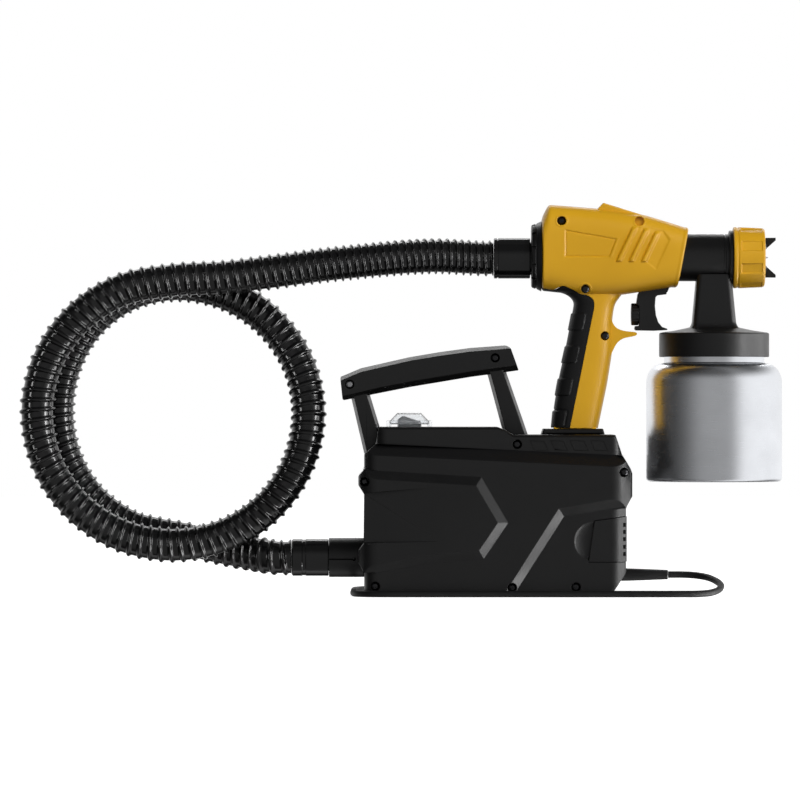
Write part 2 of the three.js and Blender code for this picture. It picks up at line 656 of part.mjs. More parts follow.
function needleSpring() {
  const [start, end, turns, perTurn] = [99.2, COLLAR_BACK - 1.2, 5, 8];
  const points = [];
  for (let step = 0; step <= turns * perTurn; step++) {
    const angle = (2 * Math.PI * step) / perTurn;
    const x = start + ((end - start) * step) / (turns * perTurn);
    points.push([x, 4.6 * Math.cos(angle), GUN_Z + 4.6 * Math.sin(angle)]);
  }
  return sweep(curveThrough(points), turns * perTurn, 0.7, 5);
}

function airCap() {
  const disc = turned('x', [
    [4.9, 227], [18.7, 226.5], [18.7, 231], [16.2, 231], [16.2, CAP_NUT_FRONT], [12, 236.6], [3, 236.6],
    [3, 233.5],
  ], sprayAxis, 24);
  const horn = prism('y', [
    [233, 6.2], [240.5, 6.6], [HORN_TIP, 12.5], [HORN_TIP, 17.5], [236, 17.4], [235.2, 15.9], [233, 15.6],
  ], -4.5, 4.5);
  return join(disc, horn.translate(sprayAxis), horn.rotate([180, 0, 0]).translate(sprayAxis));
}

function capNut() {
  const flutes = 8;
  const nut = turned('x', [
    [19.4, CAP_NUT_BACK], [26.9, CAP_NUT_BACK], [26.9, 210.4], [26.4, 212], [25.3, 233.6], [24.1, CAP_NUT_FRONT],
    [16.5, CAP_NUT_FRONT], [16.5, 231.3], [19.4, 231.3],
  ], sprayAxis, 24);
  const groove = prism('x', [[-4.4, 25.2], [4.4, 25.2], [5.4, 28], [-5.4, 28]], 212.6, 240);
  const grooves = [];
  for (let index = 0; index < flutes; index++) {
    grooves.push(groove.rotate([(360 * (index + 0.5)) / flutes, 0, 0]).translate(sprayAxis));
  }
  return nut.subtract(join(...grooves));
}

function trigger() {
  const blade = prism('y', [
    [122.8, 265.5], [124.8, 257.5], [124.8, 237.2], [120.4, 235.4], [120.4, 234.6], [149.2, 234.4],
    [142.6, 237], [139.5, 241.3], [138.6, 253.9], [139.5, 263.1], [148.9, 264.4], [151.2, 270.4], [126, 268],
  ], -8.5, 8.5);
  const arm = [
    [128, 262], [148.4, 264.6], [151.4, 300], [151.4, 314], [148, 317], [142, 317], [138.4, 312], [137.3, 299],
    [137.3, 295], [140.2, 286], [132, 268],
  ];
  const arms = prism('y', arm, -8.5, 8.5).subtract(block(100, 170, -5.6, 5.6, 268.5, 330));
  const pinHole = rod('y', 2.65, -20, 20, [PIVOT[0], 0, PIVOT[1]], 16);
  const stud = rod('x', 2.3, 120, 131, [0, 0, KNOB_Z], 12);
  return join(blade, arms).subtract(join(pinHole, stud));
}

function flowKnob() {
  return turned('x', [
    [0, 117.5], [8.6, 117.5], [9.7, 118.6], [9.7, 123.4], [8.8, 124.3], [2, 124.3], [2, 130.4], [0, 130.4],
  ], [0, 0, KNOB_Z], 20);
}

// ---------------------------------------------------------------------------------------------------
// Cup
// ---------------------------------------------------------------------------------------------------
function cupLid() {
  const collar = turned('z', [
    [4, 226], [45.4, 226], [45.4, LID_BOTTOM], [47.4, LID_BOTTOM], [LID_R, 210.4], [LID_R, 229.4], [47, LID_TOP],
    [20, 236.5], [4, 236.5],
  ], [CUP_X, 0, 0], 20);
  const tower = prism('y', [[169.4, 234], [209, 234], [205.1, 282], [175.3, 282]], -19, 19, 5, 1)
    .subtract(rod('x', BARREL_R + 0.5, 100, 250, sprayAxis, 20))
    .subtract(rod('x', 24.4, 203.2, 250, sprayAxis, 20))
    .subtract(rod('z', 4, 220, 300, [CUP_X, 0, 0], 16));
  return join(collar, tower);
}

// Thin spun can with a rounded shoulder and foot.
function paintCup() {
  const wall = 1.2;
  const outside = [[0, CUP_BOTTOM], [55.2, CUP_BOTTOM], [58.4, 101.2], [CUP_R, 104.4], [CUP_R, 183]];
  for (let step = 1; step <= 2; step++) {
    const angle = (step * Math.PI) / 4.5;
    outside.push([CUP_R - 13 * (1 - Math.cos(angle)), 183 + 13 * Math.sin(angle)]);
  }
  outside.push([45.6, 201.8], [NECK_R, 205], [NECK_R, 222]);
  const inside = outside.slice(1).reverse().map(([radius, z]) => (
    [radius - wall, z < CUP_BOTTOM + 2 ? z + wall : z]
  ));
  inside.push([0, CUP_BOTTOM + wall]);
  return turned('z', [...outside, ...inside], [CUP_X, 0, 0], 24);
}

function sprayGunPieces() {
  gunShells();
  place(sprayGun, 'grip_rubber', gripRubber(), rubber);
  place(sprayGun, 'rear_collar', rearCollar(), blackPlastic);
  place(sprayGun, 'barrel', barrel(), blackPlastic);
  place(sprayGun, 'fluid_nozzle', fluidNozzle(), steel);
  place(sprayGun, 'needle', needle(), steel);
  place(sprayGun, 'needle_spring', needleSpring(), steel);
  place(sprayGun, 'air_cap', airCap(), glossBlack);
  place(sprayGun, 'cap_nut', capNut(), yellowPlastic);
  place(sprayGun, 'trigger', trigger(), blackPlastic);
  place(sprayGun, 'trigger_pin', rod('y', 2.3, -14, 14, [PIVOT[0], 0, PIVOT[1]], 16), steel);
  place(sprayGun, 'flow_knob', flowKnob(), blackPlastic);
  place(sprayGun, 'cup_lid', cupLid(), blackPlastic);
  place(sprayGun, 'pickup_tube', pipe('z', 3.4, 2.2, 106, 232, [CUP_X, 0, 0], 16), steel);
  place(sprayGun, 'cup_gasket', pipe('z', 44.6, 40, 222.3, 225.7, [CUP_X, 0, 0], 24), rubber);
  place(sprayGun, 'paint_cup', paintCup(), aluminium);
}

// ---------------------------------------------------------------------------------------------------
// Hose and mains lead
// ---------------------------------------------------------------------------------------------------
const LOOP = [-285, 160.5];         // middle of the hose's loop (x, z)
const STRAND = 17.5;                // how far a strand stands off the middle plane where two cross

function ease(value, low, high) {
  const part = Math.min(1, Math.max(0, (value - low) / (high - low)));
  return part * part * (3 - 2 * part);
}

// One and a half turns, from the top over the left side. The second pass lies inside and behind.
function hoseLoop() {
  const points = [];
  for (let degrees = 0; degrees < 530; degrees += 22.5) {
    const angle = (degrees * Math.PI) / 180;
    const inner = ease(degrees, 270, 450);
    const across = 119 - 16 * inner;
    const up = 116 - 6.75 * inner;
    const side = -STRAND + 2 * STRAND * ease(degrees, 225, 330);
    points.push([LOOP[0] - across * Math.sin(angle), side, LOOP[1] + 0.75 * inner + up * Math.cos(angle)]);
  }
  return points;
}

const hoseRoute = [
  [HOSE_GUN_END - GAP, 0, HOSE_Z], [-13, 0, HOSE_Z], [-28, -0.8, 296.9], [-52, -4, 298], [-78, -8.5, 297],
  [-104, -12.5, 294.8],
  [-156, -16.5, 289.4], [-196, -STRAND, 284.2], [-240, -STRAND, 279],
  ...hoseLoop(),
  [-300, 17, 53.5], [-276, 17, 49], [-254, 16, 43.5], [-232, 13, 39], [-215, 8, 36.3], [-201, 2, 34],
  [-191, 0, PORT_Z],
  [HOSE_BASE_END - GAP, 0, PORT_Z],
];

const cordRoute = [
  [150 + GAP, 0, CORD_Z], [162, 0, 18], [174, -3, 17.4], [184, -10, 15.8], [191, -22, 13], [194.8, -38, 9.4],
  [192, -54, 6], [184, -67, 3.8], [172, -75, 3.1], [158, -78.5, 3.1], [130, -80, 3.1], [95, -80, 3.1],
  [50, -79.5, 3.1], [0, -79, 3.1], [-45, -79, 3.1], [-75, -78.8, 3.1], [-98, -78, 3.1], [-112, -74.4, 3.1],
  [-121.4, -66, 3.1], [-125.6, -54, 3.1], [-126.4, -40, 3.1], [-126.4, -10, 3.1], [-126.4, 20, 3.1],
  [-126, 45, 3.1], [-122.6, 61, 3.1], [-114, 74, 3.1], [-101, 82.8, 3.1], [-86.5, 86, 3.1],
];
const COIL = [-60, 128];            // coil's middle (x, y)
const COIL_IN = 20.7;
const COIL_OUT = 45.3;
const COIL_HIGH = 12.4;

function hoseCuffs() {
  const baseCuff = turned('x', [
    [0, HOSE_BASE_END], [16.2, HOSE_BASE_END], [16.2, PORT_END - 1.5], [PORT_BORE - GAP, PORT_END - 1.5],
    [PORT_BORE - GAP, -126], [9, -126], [9, -178], [0, -178],
  ], [0, 0, PORT_Z], 20);
  const gunCuff = turned('x', [
    [0, 0], [11, 0], [11, 52], [14.7, 52], [14.7, 28.6], [17.9, 28.6], [17.9, HOSE_GUN_END], [0, HOSE_GUN_END],
  ].reverse(), [0, 0, HOSE_Z], 20);
  place(turbineBase, 'hose_cuff_base', baseCuff, glossBlack);
  place(sprayGun, 'hose_cuff_gun', gunCuff, blackPlastic);
}

function plugBody() {
  const at = [0, COIL[1] - 42, 9];
  const sleeve = turned('x', [[0, -33.4], [4.2, -33.4], [5.4, -20], [0, -20]], at, 16);
  const shell = prism('x', [
    [-13, -3], [-13, 3], [-8, 9], [8, 9], [13, 3], [13, -3], [8, -9], [-8, -9],
  ], -22, 14, 2).translate(at);
  return join(sleeve, shell);
}

function hoseAndLead() {
  hoseCuffs();
  place(cordsAndHose, 'hose', sweep(curveThrough(hoseRoute), 44, HOSE_R, 8), glossBlack);
  place(cordsAndHose, 'power_cord', sweep(curveThrough(cordRoute), 40, CORD_R, 8), rubber);
  place(cordsAndHose, 'cord_coil', pipe('z', COIL_OUT, COIL_IN, 0, COIL_HIGH, [...COIL, 0], 32), rubber);
  place(cordsAndHose, 'plug', plugBody(), rubber);
  [['left', -6], ['right', 6]].forEach(([side, offset]) => {
    const pin = block(14 + GAP, 31, COIL[1] - 42 + offset - 0.8, COIL[1] - 42 + offset + 0.8, 6, 12);
    place(cordsAndHose, `plug_pin_${side}`, pin, steel);
  });
}

turbineBasePieces();
sprayGunPieces();
hoseAndLead();

export default sprayer;
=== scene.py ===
"""Looks of a turbine paint sprayer: blower base, air hose, spray gun and mains lead.

Shapes are given in design millimetres: x = 0 is the middle of the base, z = 0 the floor, +X the way the
gun sprays and -Y the side towards the camera. placed() turns them into the frame's metres.
"""
import json
import math

import bmesh
import bpy
import numpy as np
from mathutils import Matrix, Vector

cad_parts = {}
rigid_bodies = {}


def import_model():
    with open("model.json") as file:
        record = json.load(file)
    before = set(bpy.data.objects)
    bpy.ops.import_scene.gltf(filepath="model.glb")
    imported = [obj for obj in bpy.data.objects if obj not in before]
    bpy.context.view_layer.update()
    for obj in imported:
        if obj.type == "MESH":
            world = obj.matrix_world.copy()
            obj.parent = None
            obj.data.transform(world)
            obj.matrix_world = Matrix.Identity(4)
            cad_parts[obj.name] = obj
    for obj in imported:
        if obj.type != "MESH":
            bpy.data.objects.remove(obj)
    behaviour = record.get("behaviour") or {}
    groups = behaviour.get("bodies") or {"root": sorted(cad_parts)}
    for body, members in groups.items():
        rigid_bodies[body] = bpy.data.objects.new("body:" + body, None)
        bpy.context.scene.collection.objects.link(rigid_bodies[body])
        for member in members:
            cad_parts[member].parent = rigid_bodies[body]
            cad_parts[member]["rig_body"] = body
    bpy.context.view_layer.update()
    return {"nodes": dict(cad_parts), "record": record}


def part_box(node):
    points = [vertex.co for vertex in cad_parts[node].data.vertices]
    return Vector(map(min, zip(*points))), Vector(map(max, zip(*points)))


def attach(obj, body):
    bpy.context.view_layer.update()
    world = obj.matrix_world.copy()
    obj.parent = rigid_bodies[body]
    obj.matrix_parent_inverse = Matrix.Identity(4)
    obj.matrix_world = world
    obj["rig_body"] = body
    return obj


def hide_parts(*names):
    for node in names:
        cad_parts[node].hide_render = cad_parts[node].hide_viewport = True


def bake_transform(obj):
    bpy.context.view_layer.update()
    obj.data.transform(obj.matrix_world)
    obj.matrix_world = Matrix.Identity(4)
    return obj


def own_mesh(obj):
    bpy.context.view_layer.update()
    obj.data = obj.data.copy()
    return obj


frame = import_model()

node_slots = {part["node"]: part["material_slot"] for part in frame["record"]["subparts"]}

# ---- Units and places ----
MM = 0.001
CUP_X = 190.6                       # cup's axis in design millimetres, which ties them to the frame
cup_low, cup_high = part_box("paint_cup")
ORIGIN_X = CUP_X - (cup_low.x + cup_high.x) / 2 / MM
GAP = 0.3                           # clearance between neighbouring pieces
FAR = 400                           # larger than the object, for cutting blocks
WALL = 3                            # moulded wall thickness

PORT_Z = 33                         # air outlet's axis
PORT_END = -148.3
HOSE_Z = 296.2                      # hose's axis at the gun
COLLAR_Z = 298.0                    # middle of the gun's round back
HOSE_GUN_END = -3.3
HOSE_BASE_END = -181.2
GUN_Z = 296.8                       # spray axis
SPRAY_AXIS = (0, 0, GUN_Z)
KNOB_Z = 247                        # flow knob's axis
PIVOT = (145, 0, 310)               # trigger's pin
SCREW_WELL_R = 4.1
CASING_SCREWS = [(-116.6, 100.3), (-107.4, 9.2), (16.5, 132.9), (109.6, 108.6), (12, 8), (67.7, 8.4)]
CASING_SEATS = [52, 56, 45.5, 52, 52, 51.5]
HANDLE_SCREWS = [(-129.9, 185.4), (-2.2, 208.6)]
HANDLE_SEATS = [12, 12]
GUN_SCREWS = [(55.9, 328.8), (76.7, 268.8), (94.3, 227.9)]
GUN_SEATS = [21, 21, 11.5]


def placed(points):
    """Design millimetres as frame metres."""
    return (np.asarray(points, float).reshape(-1, 3) - (ORIGIN_X, 0, 0)) * MM


def in_scene(name, data):
    """A new object, linked into the scene."""
    made = bpy.data.objects.new(name, data)
    bpy.context.scene.collection.objects.link(made)
    return made


# ---- Camera ----
CAMERA_FAR = 6.0                    # metres from the object's middle plane
VIEW_WIDTH = 0.704                  # metres across the picture at that plane
VIEW_MIDDLE = (-85.8, 0, 171.6)
SENSOR = 36.0


def add_camera():
    data = bpy.data.cameras.new("camera")
    data.sensor_width = SENSOR
    data.lens = SENSOR * CAMERA_FAR / VIEW_WIDTH
    data.clip_end = 50
    camera = in_scene("camera", data)
    camera.location = Vector(placed(VIEW_MIDDLE)[0]) - Vector((0, CAMERA_FAR, 0))
    camera.rotation_euler = (math.pi / 2, 0, 0)
    bpy.context.scene.camera = camera


add_camera()


# ---- Meshes ----
def mesh_piece(name, points, faces, tidy=0.0):
    """A closed mesh from points in design millimetres, its faces turned outwards."""
    mesh = bpy.data.meshes.new(name)
    mesh.from_pydata(placed(points).tolist(), [], [list(face) for face in faces])
    work = bmesh.new()
    work.from_mesh(mesh)
    if tidy:
        bmesh.ops.remove_doubles(work, verts=work.verts, dist=tidy * MM)
        bmesh.ops.dissolve_degenerate(work, edges=work.edges, dist=tidy * MM / 2)
    bmesh.ops.recalc_face_normals(work, faces=work.faces)
    work.to_mesh(mesh)
    work.free()
    return in_scene(name, mesh)


def loft(name, rings, tidy=0.0, closed=False):
    """A solid through rings with the same number of points, capped at its ends unless it is closed."""
    rings = np.asarray(rings, float)
    count, around = rings.shape[:2]
    faces = []
    for i in range(count if closed else count - 1):
        for j in range(around):
            a, b = i * around, ((i + 1) % count) * around
            k = (j + 1) % around
            faces.append((a + j, a + k, b + k, b + j))
    if not closed:
        faces.append(tuple(range(around))[::-1])
        faces.append(tuple(range((count - 1) * around, count * around)))
    return mesh_piece(name, rings.reshape(-1, 3), faces, tidy)


def shoelace(points):
    u, v = np.asarray(points, float).T
    return 0.5 * float(np.sum(u * np.roll(v, -1) - v * np.roll(u, -1)))


def inset(points, distance):
    """A closed outline moved inwards by distance, with its corners kept."""
    points = np.asarray(points, float)
    if shoelace(points) < 0:
        distance = -distance
    before = points - np.roll(points, 1, axis=0)
    after = np.roll(points, -1, axis=0) - points
    before /= np.linalg.norm(before, axis=1)[:, None]
    after /= np.linalg.norm(after, axis=1)[:, None]
    inward = np.stack([-(before + after)[:, 1], (before + after)[:, 0]], axis=1)
    length = 1 + np.sum(before * after, axis=1)
    return points + inward * (distance / length)[:, None]


def rounded(points, radius, steps=4, closed=True):
    """An outline with each corner replaced by a curve that starts at most radius away from it."""
    points = [np.asarray(point, float) for point in points]
    result = []
    for index, corner in enumerate(points):
        if not closed and index in (0, len(points) - 1):
            result.append(corner)
            continue
        before = points[index - 1] - corner
        after = points[(index + 1) % len(points)] - corner
        long_before, long_after = np.linalg.norm(before), np.linalg.norm(after)
        start = corner + before * min(radius / long_before, 0.48)
        end = corner + after * min(radius / long_after, 0.48)
        for step in range(steps + 1):
            t = step / steps
            result.append((1 - t) ** 2 * start + 2 * t * (1 - t) * corner + t * t * end)
    return result


def spread(axis, pairs, level):
    """Outline points at a level along an axis."""
    pairs = np.asarray(pairs, float)
    flat = np.full(len(pairs), float(level))
    if axis == "y":
        return np.stack([pairs[:, 0], flat, pairs[:, 1]], axis=1)
    if axis == "x":
        return np.stack([flat, pairs[:, 0], pairs[:, 1]], axis=1)
    return np.stack([pairs[:, 0], pairs[:, 1], flat], axis=1)


def prism(axis, points, low, high, bevel=0.0, steps=1, depth=None):
    """An outline from low to high. The bevel eats into both ends. Axis y draws in (x, z), x in (y, z)."""
    if not bevel:
        return loft("prism", [spread(axis, points, low), spread(axis, points, high)])
    depth = bevel if depth is None else depth
    rings = []
    for step in range(steps + 1):
        turn = math.pi / 2 * step / steps
        ring = inset(points, bevel * (1 - math.sin(turn)))
        rings.append((ring, depth * (1 - math.cos(turn))))
    front = [spread(axis, ring, low + level) for ring, level in rings]
    back = [spread(axis, ring, high - level) for ring, level in rings[::-1]]
    return loft("prism", front + back)


def block(x0, x1, y0, y1, z0, z1):
    return prism("z", [(x0, y0), (x1, y0), (x1, y1), (x0, y1)], z0, z1)


def turned(axis, profile, centre=(0, 0, 0), segments=64):
    """A closed profile of (radius, position) turned about a line along the axis."""
    profile = np.asarray(profile, float)
    angles = np.linspace(0, 2 * math.pi, segments, endpoint=False)
    rings = []
    for angle in angles:
        across, up = profile[:, 0] * math.cos(angle), profile[:, 0] * math.sin(angle)
        if axis == "x":
            ring = np.stack([profile[:, 1], across, up], axis=1)
        elif axis == "y":
            ring = np.stack([across, profile[:, 1], up], axis=1)
        else:
            ring = np.stack([across, up, profile[:, 1]], axis=1)
        rings.append(ring + np.asarray(centre, float))
    return loft("turned", rings, 0.001, closed=True)


def rod(axis, radius, low, high, centre=(0, 0, 0), segments=32):
    return turned(axis, [(0, low), (radius, low), (radius, high), (0, high)], centre, segments)


def pipe(axis, outer, inner, low, high, centre=(0, 0, 0), segments=48):
    return turned(axis, [(inner, low), (outer, low), (outer, high), (inner, high)], centre, segments)


def bake_modifiers(made):
    graph = bpy.context.evaluated_depsgraph_get()
    mesh = bpy.data.meshes.new_from_object(made.evaluated_get(graph))
    old = made.data
    made.modifiers.clear()
    made.data = mesh
    bpy.data.meshes.remove(old)
    return made


def boolean(target, operation, tools):
    for tool in tools:
        step = target.modifiers.new("boolean", "BOOLEAN")
        step.operation = operation
        step.solver = "MANIFOLD"
        step.object = tool
    bake_modifiers(target)
    for tool in tools:
        bpy.data.objects.remove(tool)
    return target


def join(target, *others):
    return boolean(target, "UNION", others)


def cut(target, *tools):
    return boolean(target, "DIFFERENCE", tools)


def overlap(target, *tools):
    return boolean(target, "INTERSECT", tools)


def copy_of(made):
    twin = made.copy()
    twin.data = made.data.copy()
    bpy.context.scene.collection.objects.link(twin)
    return twin


def mirror(made):
    """Moves a solid to the other side of the y = 0 plane."""
    made.data.transform(Matrix.Diagonal((1, -1, 1, 1)))
    made.data.flip_normals()
    return made


def both_sides(made):
    return join(made, mirror(copy_of(made)))


def moved(made, matrix):
    """Turns a solid about the design's own origin, in millimetres."""
    to_design = Matrix.Translation((ORIGIN_X, 0, 0)) @ Matrix.Scale(1 / MM, 4)
    made.data.transform(to_design.inverted() @ matrix @ to_design)
    return made


def shifted(made, x=0.0, y=0.0, z=0.0):
    return moved(made, Matrix.Translation((x, y, z)))


def spin(made, degrees, axis="X", centre=SPRAY_AXIS):
    there = Matrix.Translation(centre)
    return moved(made, there @ Matrix.Rotation(math.radians(degrees), 4, axis) @ there.inverted())


def half(made, front=True):
    """The front or rear half of a solid, with half of the parting gap taken off."""
    keep = (-FAR, FAR, -FAR, -GAP / 2) if front else (-FAR, FAR, GAP / 2, FAR)
    return overlap(made, block(*keep, -FAR, FAR))


def soften(made, width, segments=2, angle=24, merge=0.12):
    """Rounds the edges that are sharper than angle degrees, and shades the rest smoothly."""
    work = bmesh.new()
    work.from_mesh(made.data)
    bmesh.ops.remove_doubles(work, verts=work.verts, dist=merge * MM)
    bmesh.ops.dissolve_limit(
        work, angle_limit=math.radians(0.6), verts=work.verts, edges=work.edges, use_dissolve_boundaries=False
    )
    if width:
        limit = math.radians(angle)
        sharp = [edge for edge in work.edges if edge.is_manifold and edge.calc_face_angle(0) > limit]
        bmesh.ops.bevel(
            work, geom=sharp, offset=width * MM, offset_type="OFFSET", segments=segments, profile=0.5,
            affect="EDGES", clamp_overlap=False, loop_slide=True, material=-1,
        )
    work.to_mesh(made.data)
    work.free()
    return smooth(made)


def smooth(made, angle=38):
    made.data.shade_smooth()
    made.data.set_sharp_from_angle(angle=math.radians(angle))
    normals = made.modifiers.new("normals", "WEIGHTED_NORMAL")
    normals.keep_sharp = True
    normals.weight = 60
    return made


def refined(node, width=0.0, segments=2):
    """A copy of a CAD node, with its edges rounded if width is given."""
    made = in_scene("refined", frame["nodes"][node].data.copy())
    return soften(made, width, segments, merge=0.05)


def show(made, name, body, slot, *nodes):
    """Names a finished piece, gives it its material and body, and hides the CAD nodes that it stands for."""
    made.name = name
    made.data.name = name
    made.data.materials.clear()
    made.data.materials.append(FINISHES[slot])
    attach(made, body)
    if nodes:
        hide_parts(*nodes)
    return made


def show_as(made, node, slot=None):
    """Shows a piece in the place of one CAD node, with that node's body and, if no slot is given, its slot."""
    return show(made, node + "_fine", frame["nodes"][node]["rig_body"], slot or node_slots[node], node)


# ---- Materials ----
def new_material(name):
    material = bpy.data.materials.new(name)
    material.use_nodes = True
    return material, material.node_tree, material.node_tree.nodes["Principled BSDF"]


def texture_coordinate(tree, scale):
    """Object coordinates, which ride with the piece, stretched by scale."""
    source = tree.nodes.new("ShaderNodeTexCoord")
    mapping = tree.nodes.new("ShaderNodeMapping")
    mapping.inputs["Scale"].default_value = scale
    tree.links.new(source.outputs["Object"], mapping.inputs["Vector"])
    return mapping.outputs["Vector"]


def noise(tree, scale, detail=2.0, stretch=(1, 1, 1)):
    node = tree.nodes.new("ShaderNodeTexNoise")
    node.inputs["Scale"].default_value = scale
    node.inputs["Detail"].default_value = detail
    tree.links.new(texture_coordinate(tree, stretch), node.inputs["Vector"])
    return node.outputs["Fac"]


def spread_to(tree, value, low, high, socket):
    """Spreads a noise value over low to high into a socket."""
    node = tree.nodes.new("ShaderNodeMapRange")
    node.inputs["From Min"].default_value = 0.3
    node.inputs["From Max"].default_value = 0.7
    node.inputs["To Min"].default_value = low
    node.inputs["To Max"].default_value = high
    tree.links.new(value, node.inputs["Value"])
    tree.links.new(node.outputs["Result"], socket)


def two_tones(tree, value, first, second, socket):
    ramp = tree.nodes.new("ShaderNodeValToRGB")
    ramp.color_ramp.elements[0].position = 0.32
    ramp.color_ramp.elements[0].color = (*first, 1)
    ramp.color_ramp.elements[1].position = 0.68
    ramp.color_ramp.elements[1].color = (*second, 1)
    tree.links.new(value, ramp.inputs["Fac"])
    tree.links.new(ramp.outputs["Color"], socket)


def bump(tree, shader, heights):
    """Stacks noise heights, each a (value, distance in metres) pair, into the shader's normal."""
    previous = None
    for value, distance in heights:
        node = tree.nodes.new("ShaderNodeBump")
        node.inputs["Strength"].default_value = 1.0
        node.inputs["Distance"].default_value = distance
        tree.links.new(value, node.inputs["Height"])
        if previous:
            tree.links.new(previous, node.inputs["Normal"])
        previous = node.outputs["Normal"]
    tree.links.new(previous, shader.inputs["Normal"])


WAVES = 0.00006                     # metres, height of the slow waves in moulded surfaces


def moulded(name, first, second, rough, grain, grain_scale=1500.0, specular=0.5):
    """Moulded plastic or rubber: a fine spark-eroded grain, slow waviness and uneven gloss."""
    material, tree, shader = new_material(name)
    shader.inputs["Specular IOR Level"].default_value = specular
    two_tones(tree, noise(tree, 14.0, 3.0), first, second, shader.inputs["Base Color"])
    spread_to(tree, noise(tree, 60.0, 4.0), rough[0], rough[1], shader.inputs["Roughness"])
    bump(tree, shader, [(noise(tree, 22.0, 1.0), WAVES), (noise(tree, grain_scale, 2.0), grain)])
    return material


def metal(name, colour, rough, stretch, depth, anisotropic=0.0):
    """Metal with fine tool or polishing marks that run across the stretched direction."""
    material, tree, shader = new_material(name)
    shader.inputs["Metallic"].default_value = 1.0
    shader.inputs["Anisotropic"].default_value = anisotropic
    darker = tuple(0.9 * channel for channel in colour)
    two_tones(tree, noise(tree, 30.0, 3.0), darker, colour, shader.inputs["Base Color"])
    marks = noise(tree, 1.0, 3.0, stretch)
    spread_to(tree, marks, rough[0], rough[1], shader.inputs["Roughness"])
    bump(tree, shader, [(marks, depth), (noise(tree, 1800.0, 2.0), depth)])
    return material


def clear(name):
    material, tree, shader = new_material(name)
    shader.inputs["Transmission Weight"].default_value = 0.97
    shader.inputs["IOR"].default_value = 1.46
    two_tones(tree, noise(tree, 40.0), (0.93, 0.94, 0.95), (0.97, 0.98, 0.99), shader.inputs["Base Color"])
    spread_to(tree, noise(tree, 150.0, 3.0), 0.03, 0.08, shader.inputs["Roughness"])
    bump(tree, shader, [(noise(tree, 90.0), 0.00002)])
    return material


FINISHES = {
    "black_plastic": moulded(
        "black_plastic", (0.0036, 0.0036, 0.0038), (0.0046, 0.0046, 0.0048), (0.36, 0.46), 0.00003
    ),
    "gloss_black": moulded(
        "gloss_black", (0.004, 0.004, 0.0042), (0.006, 0.006, 0.0063), (0.12, 0.19), 0.000006, 900
    ),
    "yellow_plastic": moulded(
        "yellow_plastic", (0.66, 0.345, 0.009), (0.72, 0.387, 0.012), (0.34, 0.44), 0.00003, 1500, 0.45
    ),
    "rubber": moulded(
        "rubber", (0.0045, 0.0045, 0.0048), (0.006, 0.006, 0.0063), (0.50, 0.62), 0.00005, 1100, 0.4
    ),
    "cup_aluminium": metal("cup_aluminium", (0.90, 0.92, 0.96), (0.27, 0.31), (60, 60, 1600), 0.0000015, 0.3),
    "steel": metal("steel", (0.58, 0.58, 0.60), (0.22, 0.36), (400, 400, 400), 0.00001),
    "dark_steel": metal("dark_steel", (0.055, 0.055, 0.058), (0.22, 0.34), (500, 500, 500), 0.00001),
    "grey_plastic": moulded("grey_plastic", (0.24, 0.25, 0.26), (0.30, 0.31, 0.32), (0.35, 0.45), 0.00002),
    "clear_plastic": clear("clear_plastic"),
    "foam": moulded("foam", (0.05, 0.052, 0.056), (0.09, 0.094, 0.10), (0.9, 1.0), 0.0006, 700.0, 0.2),
    "circuit_board": moulded(
        "circuit_board", (0.010, 0.10, 0.040), (0.014, 0.14, 0.055), (0.3, 0.4), 0.00002
    ),
}


# ---- Paths ----
def path_through(points, spacing):
    """Evenly spaced points on the centripetal Catmull-Rom curve through points."""
    points = np.asarray(points, float)
    whole = np.vstack([2 * points[0] - points[1], points, 2 * points[-1] - points[-2]])
    fine = []
    for a, b, c, d in zip(whole[:-3], whole[1:-2], whole[2:-1], whole[3:]):
        t1 = math.sqrt(np.linalg.norm(b - a))
        t2 = t1 + math.sqrt(np.linalg.norm(c - b))
        t3 = t2 + math.sqrt(np.linalg.norm(d - c))
        t = np.linspace(t1, t2, 24, endpoint=False)[:, None]
        ab = (t1 - t) / t1 * a + t / t1 * b
        bc = (t2 - t) / (t2 - t1) * b + (t - t1) / (t2 - t1) * c
        cd = (t3 - t) / (t3 - t2) * c + (t - t2) / (t3 - t2) * d
        abc = (t2 - t) / t2 * ab + t / t2 * bc
        bcd = (t3 - t) / (t3 - t1) * bc + (t - t1) / (t3 - t1) * cd
        fine.append((t2 - t) / (t2 - t1) * abc + (t - t1) / (t2 - t1) * bcd)
    fine = np.vstack([*fine, points[-1:]])
    along = np.concatenate([[0], np.cumsum(np.linalg.norm(np.diff(fine, axis=0), axis=1))])
    places = np.linspace(0, along[-1], max(2, round(along[-1] / spacing) + 1))
    return np.stack([np.interp(places, along, fine[:, k]) for k in range(3)], axis=1), along[-1]


def table(curve):
    curve = np.array(curve)
    return curve[:, 0], curve[:, 1]


def side_vectors(path):
    """Two vectors across the path at each of its points, carried along it without twist."""
    tangents = np.gradient(path, axis=0)
    tangents /= np.linalg.norm(tangents, axis=1)[:, None]
    first = np.cross(tangents[0], (0, 1, 0))
    first /= np.linalg.norm(first)
    firsts = []
    for tangent in tangents:
        first = first - tangent * np.dot(first, tangent)
        first /= np.linalg.norm(first)
        firsts.append(first)
    firsts = np.array(firsts)
    return firsts, np.cross(tangents, firsts)


def clamp01(value):
    return np.clip(value, 0.0, 1.0)


def ease(value, low, high):
    part = clamp01((value - low) / (high - low))
    return part * part * (3 - 2 * part)


